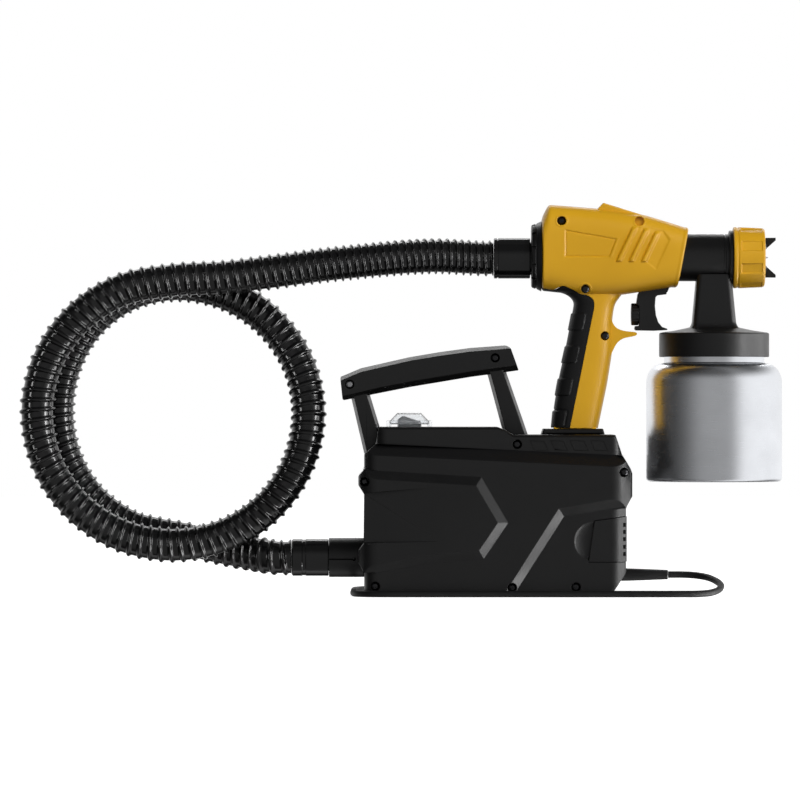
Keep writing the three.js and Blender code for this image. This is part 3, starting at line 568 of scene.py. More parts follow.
# ---- Air hose ----
LOOP = (-285, 160.5)                # middle of the hose's loop (x, z)
LOOP_HALF = (119, 116)              # half its width and height on the first pass
LOOP_SHRINK = (16, 6.75)            # how much smaller the second pass is
LOOP_RISE = 0.75                    # how much higher its middle is
LOOP_DEGREES, LOOP_STEP = 530, 22.5
STRAND = 17.5                       # how far a strand stands off the middle plane where two cross
HOSE_R = 16.0                       # over the beads
HOSE_BODY_R = 13.9                  # between the beads
HOSE_PITCH = (6.4, 8.8)             # from bead to bead, at the gun and beyond the straight run
HOSE_STRAIGHT = (100, 260)          # where along the hose its pitch changes
HOSE_ROWS = 12                      # rows of points for each turn of the bead
HOSE_SIDES = 36
BEAD = [1.0, 0.88, 0.40, 0.0, 0.0, 0.0, 0.0, 0.0, 0.0, 0.0, 0.40, 0.88]    # bead's height, row by row


def hose_loop():
    """One and a half turns, from the top over the left side. The second pass lies inside and behind."""
    points = []
    for degrees in np.arange(0, LOOP_DEGREES, LOOP_STEP):
        angle = math.radians(degrees)
        inner = ease(degrees, 270, 450)
        side = -STRAND + 2 * STRAND * ease(degrees, 225, 330)
        wide, high = (half_size - shrink * inner for half_size, shrink in zip(LOOP_HALF, LOOP_SHRINK))
        x = LOOP[0] - wide * math.sin(angle)
        points.append((x, side, LOOP[1] + LOOP_RISE * inner + high * math.cos(angle)))
    return points


HOSE_ROUTE = [
    (HOSE_GUN_END - GAP, 0, HOSE_Z), (-13, 0, HOSE_Z), (-28, -0.8, 296.9), (-52, -4, 298),
    (-78, -8.5, 297), (-104, -12.5, 294.8), (-156, -16.5, 289.4), (-196, -STRAND, 284.2),
    (-240, -STRAND, 279), *hose_loop(), (-300, 17, 53.5), (-276, 17, 49), (-254, 16, 43.5),
    (-232, 13, 39), (-215, 8, 36.3), (-201, 2, 34), (-191, 0, PORT_Z), (HOSE_BASE_END - GAP, 0, PORT_Z),
]


def air_hose():
    path, length = path_through(HOSE_ROUTE, 1.0)
    firsts, seconds = side_vectors(path)
    along = np.linspace(0, length, len(path))
    pitch = [HOSE_PITCH[0] + (HOSE_PITCH[1] - HOSE_PITCH[0]) * ease(place, *HOSE_STRAIGHT) for place in along]
    turns = np.cumsum(along[1] / np.array(pitch)) - along[1] / pitch[0]
    rows = np.arange(-HOSE_ROWS, math.ceil(turns[-1] * HOSE_ROWS) + 1)
    columns = np.arange(HOSE_SIDES)
    place = np.interp(rows[:, None] / HOSE_ROWS + columns[None, :] / HOSE_SIDES, turns, along, -1, length + 1)
    inside = (place > 0) & (place < length)
    radius = HOSE_BODY_R + (HOSE_R - HOSE_BODY_R) * np.array(BEAD)[rows % HOSE_ROWS][:, None] * inside
    place = np.clip(place, 0, length)
    turn = 2 * math.pi * columns / HOSE_SIDES
    points = []
    for k in range(3):
        middle = np.interp(place, along, path[:, k])
        across = np.interp(place, along, firsts[:, k]) * np.cos(turn)
        up = np.interp(place, along, seconds[:, k]) * np.sin(turn)
        points.append(middle + radius * (across + up))
    points = np.stack(points, axis=-1).reshape(-1, 3)
    faces = []
    for i in range(len(rows) - 1):
        for j in range(HOSE_SIDES):
            last = j == HOSE_SIDES - 1
            k, shift = (0, HOSE_ROWS) if last else (j + 1, 0)
            if i + 1 + shift >= len(rows):
                continue
            corners = [(i, j), (i + shift, k), (i + 1 + shift, k), (i + 1, j)]
            if any(inside[corner] for corner in corners):
                faces.append([row * HOSE_SIDES + column for row, column in corners])
    hose = mesh_piece("hose_fine", points, faces, 0.01)
    work = bmesh.new()
    work.from_mesh(hose.data)
    bmesh.ops.delete(work, geom=[vertex for vertex in work.verts if not vertex.link_faces], context="VERTS")
    bmesh.ops.holes_fill(work, edges=[edge for edge in work.edges if edge.is_boundary])
    bmesh.ops.recalc_face_normals(work, faces=work.faces)
    work.to_mesh(hose.data)
    work.free()
    hose.data.shade_smooth()
    flag_lights(hose_strips, hose, "INCLUDE")
    hose.data.materials.append(FINISHES["gloss_black"])
    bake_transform(hose)
    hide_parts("hose")


# ---- Mains lead ----
CORD_R = 3.0
CORD_Z = 18.0                       # where the lead leaves the base
COIL = (-60.0, 128.0)               # coil's middle (x, y)
COIL_OUTER = 42.0                   # radius of its outermost turn
COIL_PITCH = 6.15
COIL_LAYERS = (3.1, 9.3)            # heights of its two layers
TURNS_DOWN = 3.0                    # turns of the lower layer, from outside to inside
TURNS_CLIMB = 0.5
TURNS_UP = 2.5                      # turns of the upper layer, from inside to outside
PLUG_BACK = (-33.4, 86.0, 9.0)

CORD_ROUTE = [
    (150 + GAP, 0, CORD_Z), (162, 0, 18), (174, -3, 17.4), (184, -10, 15.8), (191, -22, 13),
    (194.8, -38, 9.4), (192, -54, 6), (184, -67, 3.8), (172, -75, 3.1), (158, -78.5, 3.1),
    (130, -80, 3.1), (95, -80, 3.1), (50, -79.5, 3.1), (0, -79, 3.1), (-45, -79, 3.1),
    (-75, -78.8, 3.1), (-98, -78, 3.1), (-112, -74.4, 3.1), (-121.4, -66, 3.1), (-125.6, -54, 3.1),
    (-126.4, -40, 3.1), (-126.4, -10, 3.1), (-126.4, 20, 3.1), (-126, 45, 3.1), (-122.6, 61, 3.1),
    (-114, 74, 3.1), (-101, 82.8, 3.1), (-86.5, 86, 3.1),
]


def coil_points():
    """Inwards on the floor, up at the middle, and outwards on top."""
    points = []
    total = TURNS_DOWN + TURNS_CLIMB + TURNS_UP
    inner = COIL_OUTER - COIL_PITCH * TURNS_DOWN
    for turn in np.arange(0, total + 0.001, 1 / 24):
        climb = clamp01((turn - TURNS_DOWN) / TURNS_CLIMB)
        radius = COIL_OUTER - COIL_PITCH * min(turn, TURNS_DOWN)
        radius += COIL_PITCH * max(0.0, turn - TURNS_DOWN - TURNS_CLIMB)
        radius -= 1.1 * math.sin(math.pi * climb) if radius == inner else 0.0
        height = COIL_LAYERS[0] + (COIL_LAYERS[1] - COIL_LAYERS[0]) * ease(climb, 0, 1)
        angle = 2 * math.pi * turn - math.pi / 2
        points.append((COIL[0] + radius * math.cos(angle), COIL[1] + radius * math.sin(angle), height))
    return points


def mains_lead():
    end = [(-46, 87.6, 9.2), (-38, 86.2, 9.0), (PLUG_BACK[0] - GAP, *PLUG_BACK[1:])]
    route = [*CORD_ROUTE, *coil_points(), *end]
    path, _ = path_through(route, 1.5)
    data = bpy.data.curves.new("mains_lead", "CURVE")
    data.dimensions = "3D"
    data.bevel_depth = (CORD_R - 0.05) * MM
    data.bevel_resolution = 4
    data.use_fill_caps = True
    spline = data.splines.new("POLY")
    spline.points.add(len(path) - 1)
    for point, place in zip(spline.points, placed(path)):
        point.co = (*place, 1)
    lead = show(in_scene("mains_lead", data), "mains_lead", "base", "rubber", "power_cord", "cord_coil")
    return lead, placed(path)[0]


def coil_tie():
    """Flat band around the coil's turns, with its buckle on top."""
    low, high = COIL_OUTER - COIL_PITCH * TURNS_DOWN - CORD_R, COIL_OUTER + CORD_R
    section = rounded([(low - 0.7, 0.05), (high + 0.7, 0.05), (high + 0.7, 13.2), (low - 0.7, 13.2)], 2.4, 5)
    band = prism("y", section, -3.5, 3.5, 0.4)
    cut(band, prism("y", inset(section, 0.7), -10, 10))
    join(band, prism("z", [(30, -4.4), (37, -4.4), (37, 4.4), (30, 4.4)], 12.6, 15.2, 0.6))
    moved(band, Matrix.Translation((*COIL, 0)) @ Matrix.Rotation(math.radians(150), 4, "Z"))
    return show(soften(band, 0.2), "coil_tie", "base", "rubber")


# ---- Screws ----
def cross_screw(node, x, z, seat):
    """Pan head screw with a cross recess, its head down in a well."""
    head = -seat - GAP
    made = turned("y", [
        (0, head - 2.2), (1.6, head - 2.15), (2.7, head - 1.8), (3.4, head - 1.1), (3.6, head - 0.5),
        (3.6, head),
        (1.5, head), (1.5, 8), (0, 8),
    ], (x, 0, z), 32)
    for wide, high in ((2.1, 0.45), (0.45, 2.1)):
        cut(made, block(x - wide, x + wide, head - 4, head - 1, z - high, z + high))
    spin(made, 25, "Y", (x, 0, z))
    show_as(smooth(made, 30), node, "steel" if node == "handle_screw_1" else "dark_steel")


def all_screws():
    groups = [
        ("base", CASING_SCREWS, CASING_SEATS),
        ("handle", HANDLE_SCREWS, HANDLE_SEATS),
        ("gun", GUN_SCREWS, GUN_SEATS),
    ]
    for group, places, seats in groups:
        for index, ((x, z), seat) in enumerate(zip(places, seats)):
            cross_screw(f"{group}_screw_{index + 1}", x, z, seat)


# ---- Light and floor ----
def area_light(name, place, target, width, height, radiance):
    data = bpy.data.lights.new(name, "AREA")
    data.shape = "RECTANGLE"
    data.size = width
    data.size_y = height
    data.energy = radiance * width * height * math.pi
    light = in_scene(name, data)
    light.location = place
    light.rotation_euler = (Vector(target) - Vector(place)).to_track_quat("-Z", "Y").to_euler()
    light.visible_camera = False
    return light


def graded(tree, value, span, levels):
    """A value's span mapped to a pair of levels, and held beyond it."""
    node = tree.nodes.new("ShaderNodeMapRange")
    node.inputs["From Min"].default_value = span[0]
    node.inputs["From Max"].default_value = span[1]
    node.inputs["To Min"].default_value = levels[0]
    node.inputs["To Max"].default_value = levels[1]
    tree.links.new(value, node.inputs["Value"])
    return node.outputs["Result"]


def maths(tree, operation, first, second):
    node = tree.nodes.new("ShaderNodeMath")
    node.operation = operation
    for socket, value in zip(node.inputs, (first, second)):
        if isinstance(value, (int, float)):
            socket.default_value = value
        else:
            tree.links.new(value, socket)
    return node.outputs["Value"]


# Brightness of the room around the object: (degrees to the right of the camera's side, level)
ROOM = [
    (-180, 1.0), (-125, 1.0), (-100, 0.12), (-75, 0.035), (-50, 0.13), (-25, 0.33), (0, 0.34),
    (28, 0.30), (48, 0.95), (90, 1.0),
]


def studio():
    """Soft fill from the camera's side, and strips that only the glossy surfaces show."""
    middle = (-0.05, 0, 0.16)
    key = area_light("key", (1.1, -1.9, 1.7), middle, 1.3, 0.9, 9.8)
    fill = area_light("fill", (-1.2, -2.2, 1.6), middle, 1.2, 0.8, 4.4)
    low = area_light("low", (0.8, -0.12, -0.42), middle, 0.9, 0.5, 7.6)
    side = area_light("side", (1.7, 0.1, 0.35), (0, 0, 0.2), 1.5, 0.9, 3.0)
    rim = area_light("rim", (-0.1, 1.3, 1.25), middle, 1.8, 0.3, 3.6)
    edge = area_light("edge", (1.5, -0.8, 0.22), (0, 0, 0.2), 0.36, 0.5, 11)
    key.visible_glossy = fill.visible_glossy = False
    for light in (low, rim, side, edge):
        light.visible_diffuse = False
    return low, side, edge


def hose_highlights():
    """Two tall strips that the hose's beads mirror on their right and left flanks."""
    right = area_light("hose_right", (1.5, -1.1, 0.3), (-0.3, 0, 0.16), 0.3, 1.5, 16)
    left = area_light("hose_left", (-1.9, -0.9, 0.4), (-0.3, 0, 0.16), 0.25, 1.5, 9)
    right.visible_diffuse = left.visible_diffuse = False
    return right, left


def flag_lights(lights, made, state):
    """Lights reach this piece alone (INCLUDE) or every other piece (EXCLUDE), as with flags in a studio."""
    for light in lights:
        group = bpy.data.collections.new(light.name + "_group")
        group.objects.link(made)
        group.collection_objects[0].light_linking.link_state = state
        light.light_linking.receiver_collection = group


def room():
    """The studio around the object: white sweep behind and to the right, dim in front, dark to the left."""
    world = bpy.data.worlds.new("studio")
    bpy.context.scene.world = world
    world.use_nodes = True
    tree = world.node_tree
    background = tree.nodes["Background"]
    direction = tree.nodes.new("ShaderNodeTexCoord")
    parts = tree.nodes.new("ShaderNodeSeparateXYZ")
    tree.links.new(direction.outputs["Generated"], parts.inputs["Vector"])
    turn = maths(tree, "ARCTAN2", parts.outputs["X"], maths(tree, "MULTIPLY", parts.outputs["Y"], -1.0))
    around = tree.nodes.new("ShaderNodeValToRGB")
    tree.links.new(graded(tree, turn, (-math.pi, math.pi), (0, 1)), around.inputs["Fac"])
    ramp = around.color_ramp
    ramp.elements.remove(ramp.elements[0])
    ramp.elements[0].position = 1.0
    ramp.elements[0].color = (1, 1, 1, 1)
    for degrees, level in ROOM:
        ramp.elements.new((degrees + 180) / 360).color = (level, level, level, 1)
    high = graded(tree, parts.outputs["Z"], (0.35, 0.75), (0, 1))
    low_down = graded(tree, parts.outputs["Z"], (-0.55, -0.2), (1, 0))
    above = maths(tree, "MULTIPLY", high, graded(tree, parts.outputs["Y"], (-0.3, 0.2), (0.75, 0.92)))
    below = maths(tree, "MULTIPLY", low_down, graded(tree, parts.outputs["Y"], (0.1, 0.6), (0, 0.95)))
    kept = maths(tree, "MULTIPLY", maths(tree, "SUBTRACT", 1.0, above), maths(tree, "SUBTRACT", 1.0, below))
    level = maths(tree, "MULTIPLY", around.outputs["Color"], kept)
    seen = tree.nodes.new("ShaderNodeLightPath")
    shown = maths(tree, "MAXIMUM", level, seen.outputs["Is Camera Ray"])
    tree.links.new(shown, background.inputs["Strength"])
    background.inputs["Color"].default_value = (1, 1, 1, 1)


def floor():
    """Pale floor that fades into the white background; the glossy parts mirror the room below it."""
    corners = [(-4, -5.5, 0), (4, -5.5, 0), (4, 6, 0), (-4, 6, 0)]
    data = bpy.data.meshes.new("floor")
    data.from_pydata(corners, [], [(0, 1, 2, 3)])
    made = in_scene("floor", data)
    made.location.z = -0.0004
    made.visible_glossy = made.visible_diffuse = False
    material, _, shader = new_material("floor")
    shader.inputs["Base Color"].default_value = (0.8, 0.8, 0.8, 1)
    shader.inputs["Roughness"].default_value = 0.8
    shader.inputs["Specular IOR Level"].default_value = 0.0
    shader.inputs["Emission Color"].default_value = (1, 1, 1, 1)
    shader.inputs["Emission Strength"].default_value = 0.9
    data.materials.append(material)


bpy.context.scene.view_settings.view_transform = "Standard"
strips = studio()
hose_strips = hose_highlights()
room()
floor()


# ---- Base casing ----
BASE_LEFT, BASE_RIGHT, BASE_BOTTOM = -117.1, 117.0, 2.6
LEDGE_LEFT = -122.2                 # raised panel's left end
FACE_HALF, PANEL_HALF, RECESS_HALF, CAP_HALF = 61.0, 66.0, 56.0, 50.0
CAP_TOP, DECK_TOP = 148.0, 141.2
STEP = 5.0                          # height of the slope between two levels of the side
STEP_WIDTH = 7.8
SHOULDER = [(-106.9, 133.3), (108.5, 123.2)]
CORNER_RIGHT = 111.8
SWITCH_X = -77.5
DOCK_TILT = 0.15

LOWER_OUTLINE = [
    (BASE_LEFT, BASE_BOTTOM), (99.5, BASE_BOTTOM), (CORNER_RIGHT, 21.1), (CORNER_RIGHT, 78.3),
    (BASE_RIGHT, 87.3),
    (BASE_RIGHT, 107.4), (115.7, 111.3), SHOULDER[1], SHOULDER[0], (BASE_LEFT, 124.3),
]
CAP_OUTLINE = [
    (-106.9, 120), (108.5, 115), SHOULDER[1], (102.3, DECK_TOP), (13.1, DECK_TOP), (6.3, 145.6),
    (-0.4, CAP_TOP),
    (-104.7, CAP_TOP), SHOULDER[0],
]
PANEL_OUTLINE = [
    (LEDGE_LEFT, 97.4), (LEDGE_LEFT, 105.2), (BASE_LEFT, 110.9), (-15, 104.5), (8.6, 64.4),
    (-12.8, 32.9), (-60, 29), (-105, 21.1), (BASE_LEFT, 21.1), (LEDGE_LEFT, 30), (LEDGE_LEFT, 40.1),
    (BASE_LEFT, 46.9), (BASE_LEFT, 89.5),
]
SUNKEN_OUTLINE = [(52.6, 77.2), (2.4, -1.4), (2.4, -30), (160, -30), (160, 95.1)]


def plan(left, right, half_depth, radius_left, radius_right, steps=10):
    """Rectangle in plan with round corners."""
    points = []
    corners = [
        (right - radius_right, -half_depth + radius_right, radius_right, -90),
        (right - radius_right, half_depth - radius_right, radius_right, 0),
        (left + radius_left, half_depth - radius_left, radius_left, 90),
        (left + radius_left, -half_depth + radius_left, radius_left, 180),
    ]
    for x, y, radius, start in corners:
        for step in range(steps + 1):
            angle = math.radians(start + 90 * step / steps)
            points.append((x + radius * math.cos(angle), y + radius * math.sin(angle)))
    return points


def face_tier():
    """The main level of both sides, with the sloping shoulder along its top edge."""
    wide = [(-170, -40), (170, -40), (170, 120.3), (-170, 136.3)]
    tier = prism("y", wide, -FACE_HALF, FACE_HALF, 10, 1, 11)
    ends = prism("z", plan(BASE_LEFT, BASE_RIGHT, FACE_HALF, 12, 19), -FAR, FAR)
    return overlap(tier, prism("y", LOWER_OUTLINE, -FAR, FAR), ends)


def sunken_corner():
    side = both_sides(prism("y", SUNKEN_OUTLINE, -RECESS_HALF - 40, -RECESS_HALF, STEP_WIDTH, 1, STEP))
    end = prism("y", [(85, -30), (160, -30), (160, 83), (85, 74)], -FAR, FAR)
    cut(end, prism("z", plan(-FAR, CORNER_RIGHT, RECESS_HALF, 14, 14), -FAR, FAR))
    return join(side, end)


def panel_scoop():
    """Shallow ramp between the two ledges of the raised panel's left end."""
    start = -50.9
    slope = math.atan(STEP / (start - BASE_LEFT))
    scoop = prism("y", [(start, 96.3), (start, 48.7), (-140, 46.7), (-140, 88)], -30, 0)
    there = Matrix.Translation((start, -PANEL_HALF, 0))
    moved(scoop, there @ Matrix.Rotation(-slope, 4, "Z") @ Matrix.Translation((-start, 0, 0)))
    return both_sides(scoop)


def cap_marks():
    """Outlines of four blank slanted marks on the cap's side."""
    marks = []
    for x, width in ((31, 13), (49, 12), (66, 13), (84, 12)):
        frame_outline = [(x, 127.5), (x + width, 127), (x + width - 4, 136), (x - 4, 136.5)]
        mark = prism("y", frame_outline, -CAP_HALF - 2, -CAP_HALF + 0.8)
        marks.append(cut(mark, prism("y", inset(frame_outline, 0.7), -CAP_HALF - 5, -CAP_HALF + 5)))
    return marks


def casing_solid():
    casing = join(face_tier(), prism("y", LOWER_OUTLINE, -CAP_HALF, CAP_HALF))
    cut(casing, sunken_corner())
    panel = prism("y", PANEL_OUTLINE, -PANEL_HALF, PANEL_HALF, STEP_WIDTH, 1, STEP)
    overlap(panel, prism("z", plan(LEDGE_LEFT, BASE_RIGHT, PANEL_HALF, 17, 19), -FAR, FAR))
    cut(panel, panel_scoop())
    cap = prism("y", CAP_OUTLINE, -CAP_HALF, CAP_HALF, 2)
    overlap(cap, prism("z", plan(-106.9, 108.5, CAP_HALF, 10, 10), -FAR, FAR))
    return join(casing, panel, cap)


def casing_cavity():
    low = BASE_BOTTOM + WALL
    lower = [
        (BASE_LEFT + WALL, low), (97, low), (108.6, 22), (108.6, 79), (113.6, 88.5), (113.6, 106),
        (105.4, 118),
        (-105, 128), (BASE_LEFT + WALL, 121),
    ]
    cap = [
        (-103.8, 118), (104, 112), (104, 121), (99, DECK_TOP - WALL), (12, DECK_TOP - WALL),
        (4.5, 142.4), (-2, CAP_TOP - WALL), (-101.5, CAP_TOP - WALL),
    ]
    return join(
        prism("y", lower, -RECESS_HALF + 6, RECESS_HALF - 6),
        prism("y", cap, -CAP_HALF + WALL, CAP_HALF - WALL),
    )


def cover_block(grow):
    outer = [
        (83.9 - grow, 66 + grow), (78.8 - grow, 30.4 - grow), (130, 30.4 - grow), (130, 71.9 + grow),
        (110.8, 69.8 + grow),
    ]
    return prism("y", outer, -FAR, FAR)


def cover_inside(grow):
    reach = CORNER_RIGHT - 2.4 + grow
    return prism("z", plan(-FAR, reach, RECESS_HALF - 2.4 + grow, 11, 11), -FAR, FAR)


def filter_cover():
    """C-shaped shell that wraps the sunken corner, with vents in its front edge."""
    skin = prism("z", plan(-FAR, CORNER_RIGHT + 0.6, RECESS_HALF + 0.6, 14, 14, 14), 0, FAR)
    cut(skin, cover_inside(0))
    overlap(skin, cover_block(0))
    for z in (37.2, 43.5, 50.2, 56.5, 62.6):
        for side in (-1, 1):
            slot = block(107.6, 120, *sorted((side * 44, side * 7)), z - 1.7, z + 1.7)
            cut(skin, slot, block(108.9, 111.3, *sorted((side * 80, side * 46)), z - 1.7, z + 1.7))
    return skin


def cover_seat():
    """Room for the cover, and the dished finger recess beside it."""
    seat = cut(cover_block(GAP), cover_inside(-GAP))
    dish = turned("y", [(0, 0), (17, 0), (14.5, 1.6), (9, 3.0), (0, 3.6)], (83, -RECESS_HALF, 48.4), 64)
    top = rod("y", 17, -20, 0.01, (83, -RECESS_HALF, 48.4), 64)
    dish = overlap(join(dish, top), block(60, 83, -FAR, FAR, 0, 70))
    return join(seat, both_sides(dish))


def dock_outline(grow, low, high):
    def lean(z):
        return (z - 147) * DOCK_TILT
    return [
        (49.5 - grow + lean(low), low), (86.5 + grow + lean(low), low),
        (86.5 + grow + lean(high), high), (49.5 - grow + lean(high), high),
    ]


def screw_wells(places, seats):
    """Wells for the screw heads and holes for their shanks, as one solid to cut with."""
    wells = []
    for (x, z), seat in zip(places, seats):
        wells.append(rod("y", SCREW_WELL_R, -FAR, -seat, (x, 0, z), 40))
        wells.append(rod("y", 1.8, -seat - 1, 9, (x, 0, z), 16))
    return wells


def bosses(whole, places, radius):
    rods = [rod("y", radius, -FAR, FAR, (x, 0, z), 24) for x, z in places]
    return overlap(join(*rods), whole)


def base_casing():
    whole = casing_solid()
    hollow = cut(copy_of(whole), casing_cavity())
    join(hollow, bosses(copy_of(whole), CASING_SCREWS, 5.4))
    cut(
        hollow, *screw_wells(CASING_SCREWS, CASING_SEATS), cover_seat(),
        block(SWITCH_X - 13.5, SWITCH_X + 13.5, -8.6, 8.6, 138, 155),
        prism("y", dock_outline(4.1, 124, 148), -17.6, 17.6),
        rod("x", 14.3, -130, -100, (0, 0, PORT_Z), 48),
        rod("x", 5.9, 90, 130, (0, 0, CORD_Z), 32),
    )
    front = half(copy_of(hollow))
    rear = half(hollow, front=False)
    smooth(cut(soften(front, 0.55), *cap_marks()))
    show_as(front, "base_shell_front")
    show_as(soften(rear, 0.55), "base_shell_rear")
    cover = soften(filter_cover(), 0.35)
    show_as(cover, "filter_cover")
    return whole


casing = base_casing()

# ---- Carry handle and outlet ----
HANDLE_TOP = [
    (-144, 189.4), (-120.5, 199.5), (-103.4, 203.3), (-77, 209.4), (-50.6, 213.8), (-24.2, 217.4),
    (7.5, 219.9),
    (28, 221.5),
]
HANDLE_UNDER = [(-144, 168.4), (-103.4, 177.8), (-77, 183), (-24.2, 191.8), (-11, 193.6), (28, 199)]


def carry_handle(casing):
    outline = rounded([
        (-138.4, 192.2), (-120.5, 199.5), (-103.4, 203.3), (-77, 209.4), (-50.6, 213.8), (-24.2, 217.4),
        (7.5, 219.7),
        (11.4, 217.4), (19.2, 195.6), (-11, 192.6), (-24.2, 191.2), (-77, 183), (-103.4, 177.8),
        (-136.2, 171.2),
    ], 1.6, 2)
    bar = prism("y", outline, -16, 16)
    rings = []
    for x in range(-144, 28, 4):
        high, low = np.interp(x, *table(HANDLE_TOP)), np.interp(x, *table(HANDLE_UNDER))
        across = [(-16, low + 5), (-11, low), (11, low), (16, low + 5), (16, high - 3.4), (2, high), (-2, high),
                  (-16, high - 3.4)]
        rings.append([(x, y, z) for y, z in across])
    overlap(bar, loft("bar", rings))
    left = prism("y", [
        (-130.2, 180), (-114, 182), (-103.8, 148.3), (-101.4, 140), (-106, 124), (-117.1, 124),
    ], -13, 13, 2.6, 1, 12.4)
    right = prism("y", [(-10.9, 202), (5.6, 202), (27.8, 138), (6.2, 138)], -13, 13, 2.6, 1, 12.4)
    whole = join(bar, left, right)
    raised = shifted(copy_of(casing), z=0.12)
    cut(whole, raised, shifted(casing, -0.1))
    front = soften(half(copy_of(whole)), 0.6)
    rear = soften(half(whole, front=False), 0.6)
    for side in (front, rear):
        smooth(cut(side, *screw_wells(HANDLE_SCREWS, HANDLE_SEATS)))
    show_as(front, "handle_front")
    show_as(rear, "handle_rear")


def switch():
    """Rocker switch under a clear hinged-roof splash cover, in its clear flange."""
    flange = cut(block(-97.5, -57.7, -12.5, 12.5, 148.3, 153.6), block(-95.2, -60.0, -11.0, 11.0, 140, 160))
    cut(flange, block(-93.5, -61.7, -20, 20, 140, 150.2))
    show_as(soften(flange, 0.35), "switch_frame", "clear_plastic")
    roof = prism("y", [
        (-94.8, 150.6), (-60.4, 150.6), (-60.4, 153.2), (-67.3, 160.2), (-88.3, 160.2), (-94.8, 153.2),
    ], -10.6, 10.6, 0.8, 1, 2.4)
    hollow = prism("y", [
        (-93.2, 140), (-62.0, 140), (-62.0, 152.6), (-68.0, 158.9), (-87.7, 158.9), (-93.2, 152.6),
    ], -9.0, 9.0)
    show_as(soften(cut(roof, hollow), 0.3), "switch_cover")
    rocker = prism("y", [
        (-88, 147), (-67, 147), (-67, 152.0), (-69, 153.2), (-83.4, 157.8), (-88, 154.4),
    ], -7.4, 7.4)
    show_as(soften(rocker, 0.5), "switch_rocker")


def outlet_port(casing):
    sleeve = pipe("x", 17.2, 12, PORT_END, -112, (0, 0, PORT_Z), 96)
    cut(sleeve, shifted(casing, -GAP))
    join(sleeve, pipe("x", 14, 12, -125, -108.4, (0, 0, PORT_Z), 64))
    slit = block(-160, -126, -30, -10, PORT_Z - 1.6, PORT_Z - 0.6)
    cut(sleeve, slit, rod("y", 1.5, -30, -10, (-126, 0, PORT_Z - 1.1)))
    show_as(soften(sleeve, 0.4), "outlet_port")
    cuff = turned("x", [
        (9, HOSE_BASE_END), (15.0, HOSE_BASE_END), (16.2, HOSE_BASE_END + 1.2), (16.2, -172),
        (15.8, -171.4), (15.8, -169), (16.2, -168.4), (16.2, PORT_END - 0.9), (15.6, PORT_END - 0.3),
        (11.7, PORT_END - 0.3), (11.7, -126), (9, -126),
    ], (0, 0, PORT_Z), 96)
    show_as(smooth(cuff, 30), "hose_cuff_base")


def strain_relief():
    """Tapered sleeve."""
    profile = [
        (0, 96), (7, 96), (7, 99.6), (5.6, 99.6), (5.6, 111), (5.5, 116), (5.1, 128), (4.5, 142),
        (4.2, 149.2),
        (3.6, 150), (0, 150),
    ]
    made = turned("x", profile, (0, 0, CORD_Z), 48)
    return show_as(smooth(made, 30), "strain_relief")


# ---- Gun casing: half rings from the belly over the near side to the top ----
GUN_BACK, GUN_FRONT = 38.8, 162.8
GUN_HALF = 27.0
GRIP_HALF = 17.0
FRONT_LEAN = 0.19                   # how far the front face leans forward for each unit up
SURFACE_STEP = 0.72                 # spacing of the casing's surface points
GUN_TOP = rounded([
    (38.8, 331.9), (44.8, 343.3), (86.9, 340.0), (128, 334.4), (172, 321.0),
], 2.5, 4, False)
GUN_UNDER = rounded([
    (38.8, 267.7), (60, 265.5), (86, 262.5), (108.7, 264), (151.8, 270.2), (172, 274.5),
], 7, 6, False)
NAMEPLATE = [(59, 320.6), (103.7, 312.7), (97.6, 297.2), (59, 297.2)]
ARROW_FIELD = [(134, 322), (145.3, 319.5), (150.4, 311.9), (138.5, 286.3), (128.5, 293.5)]
RIBS = [(106.4, 323.8), (117.4, 322.2), (128.4, 320.0)]             # (x at the foot, z at the top)
RIB_FOOT, RIB_LEAN = 293.0, 0.475
DIMPLE = (124.2, 328.4)


def signed_distance(x, z, polygon):
    """Distance outside a convex outline, negative inside it."""
    polygon = np.asarray(polygon, float)
    if shoelace(polygon) < 0:
        polygon = polygon[::-1]
    result = np.full(np.shape(x), -1e9)
    for start, end in zip(polygon, np.roll(polygon, -1, axis=0)):
        edge = (end - start) / np.linalg.norm(end - start)
        result = np.maximum(result, (x - start[0]) * edge[1] - (z - start[1]) * edge[0])
    return result


def gun_relief(x, z):
    """How far the side is sunk (positive) or raised (negative) at a place on it."""
    plate = signed_distance(x, z, NAMEPLATE)
    depth = 0.55 * clamp01(0.5 - plate / 0.9)
    depth = depth + 0.55 * clamp01(1.1 - np.abs(plate + 0.4) / 0.8)
    strip = signed_distance(x, z, [(103.7, 312.7), (106.3, 313.4), (99.6, 296.2), (97.6, 297.2)])
    depth = depth - 0.45 * clamp01(0.5 - strip / 0.9)
    field = signed_distance(x, z, ARROW_FIELD)
    depth = depth + 1.0 * clamp01(0.5 - field / 1.4) * clamp01((x - 127) / 18)
    for foot, top in RIBS:
        across = x - foot - (z - RIB_FOOT) * RIB_LEAN
        height = np.minimum(clamp01((across + 2.9) / 0.9), clamp01((2.6 - across) / 2.2))
        ends = clamp01((z - RIB_FOOT + 0.5) / 0.9) * clamp01((top - z) / 2.5)
        groove = clamp01(1 - np.abs(across + 3.6) / 0.9)
        depth = depth - (2.3 * height - 0.9 * groove) * ends
    for centre in [*GUN_SCREWS[:2], DIMPLE]:
        away = np.hypot(x - centre[0], z - centre[1])
        depth = depth - 0.55 * clamp01(1.25 - np.abs(away - 4.9) / 0.7)
    return depth


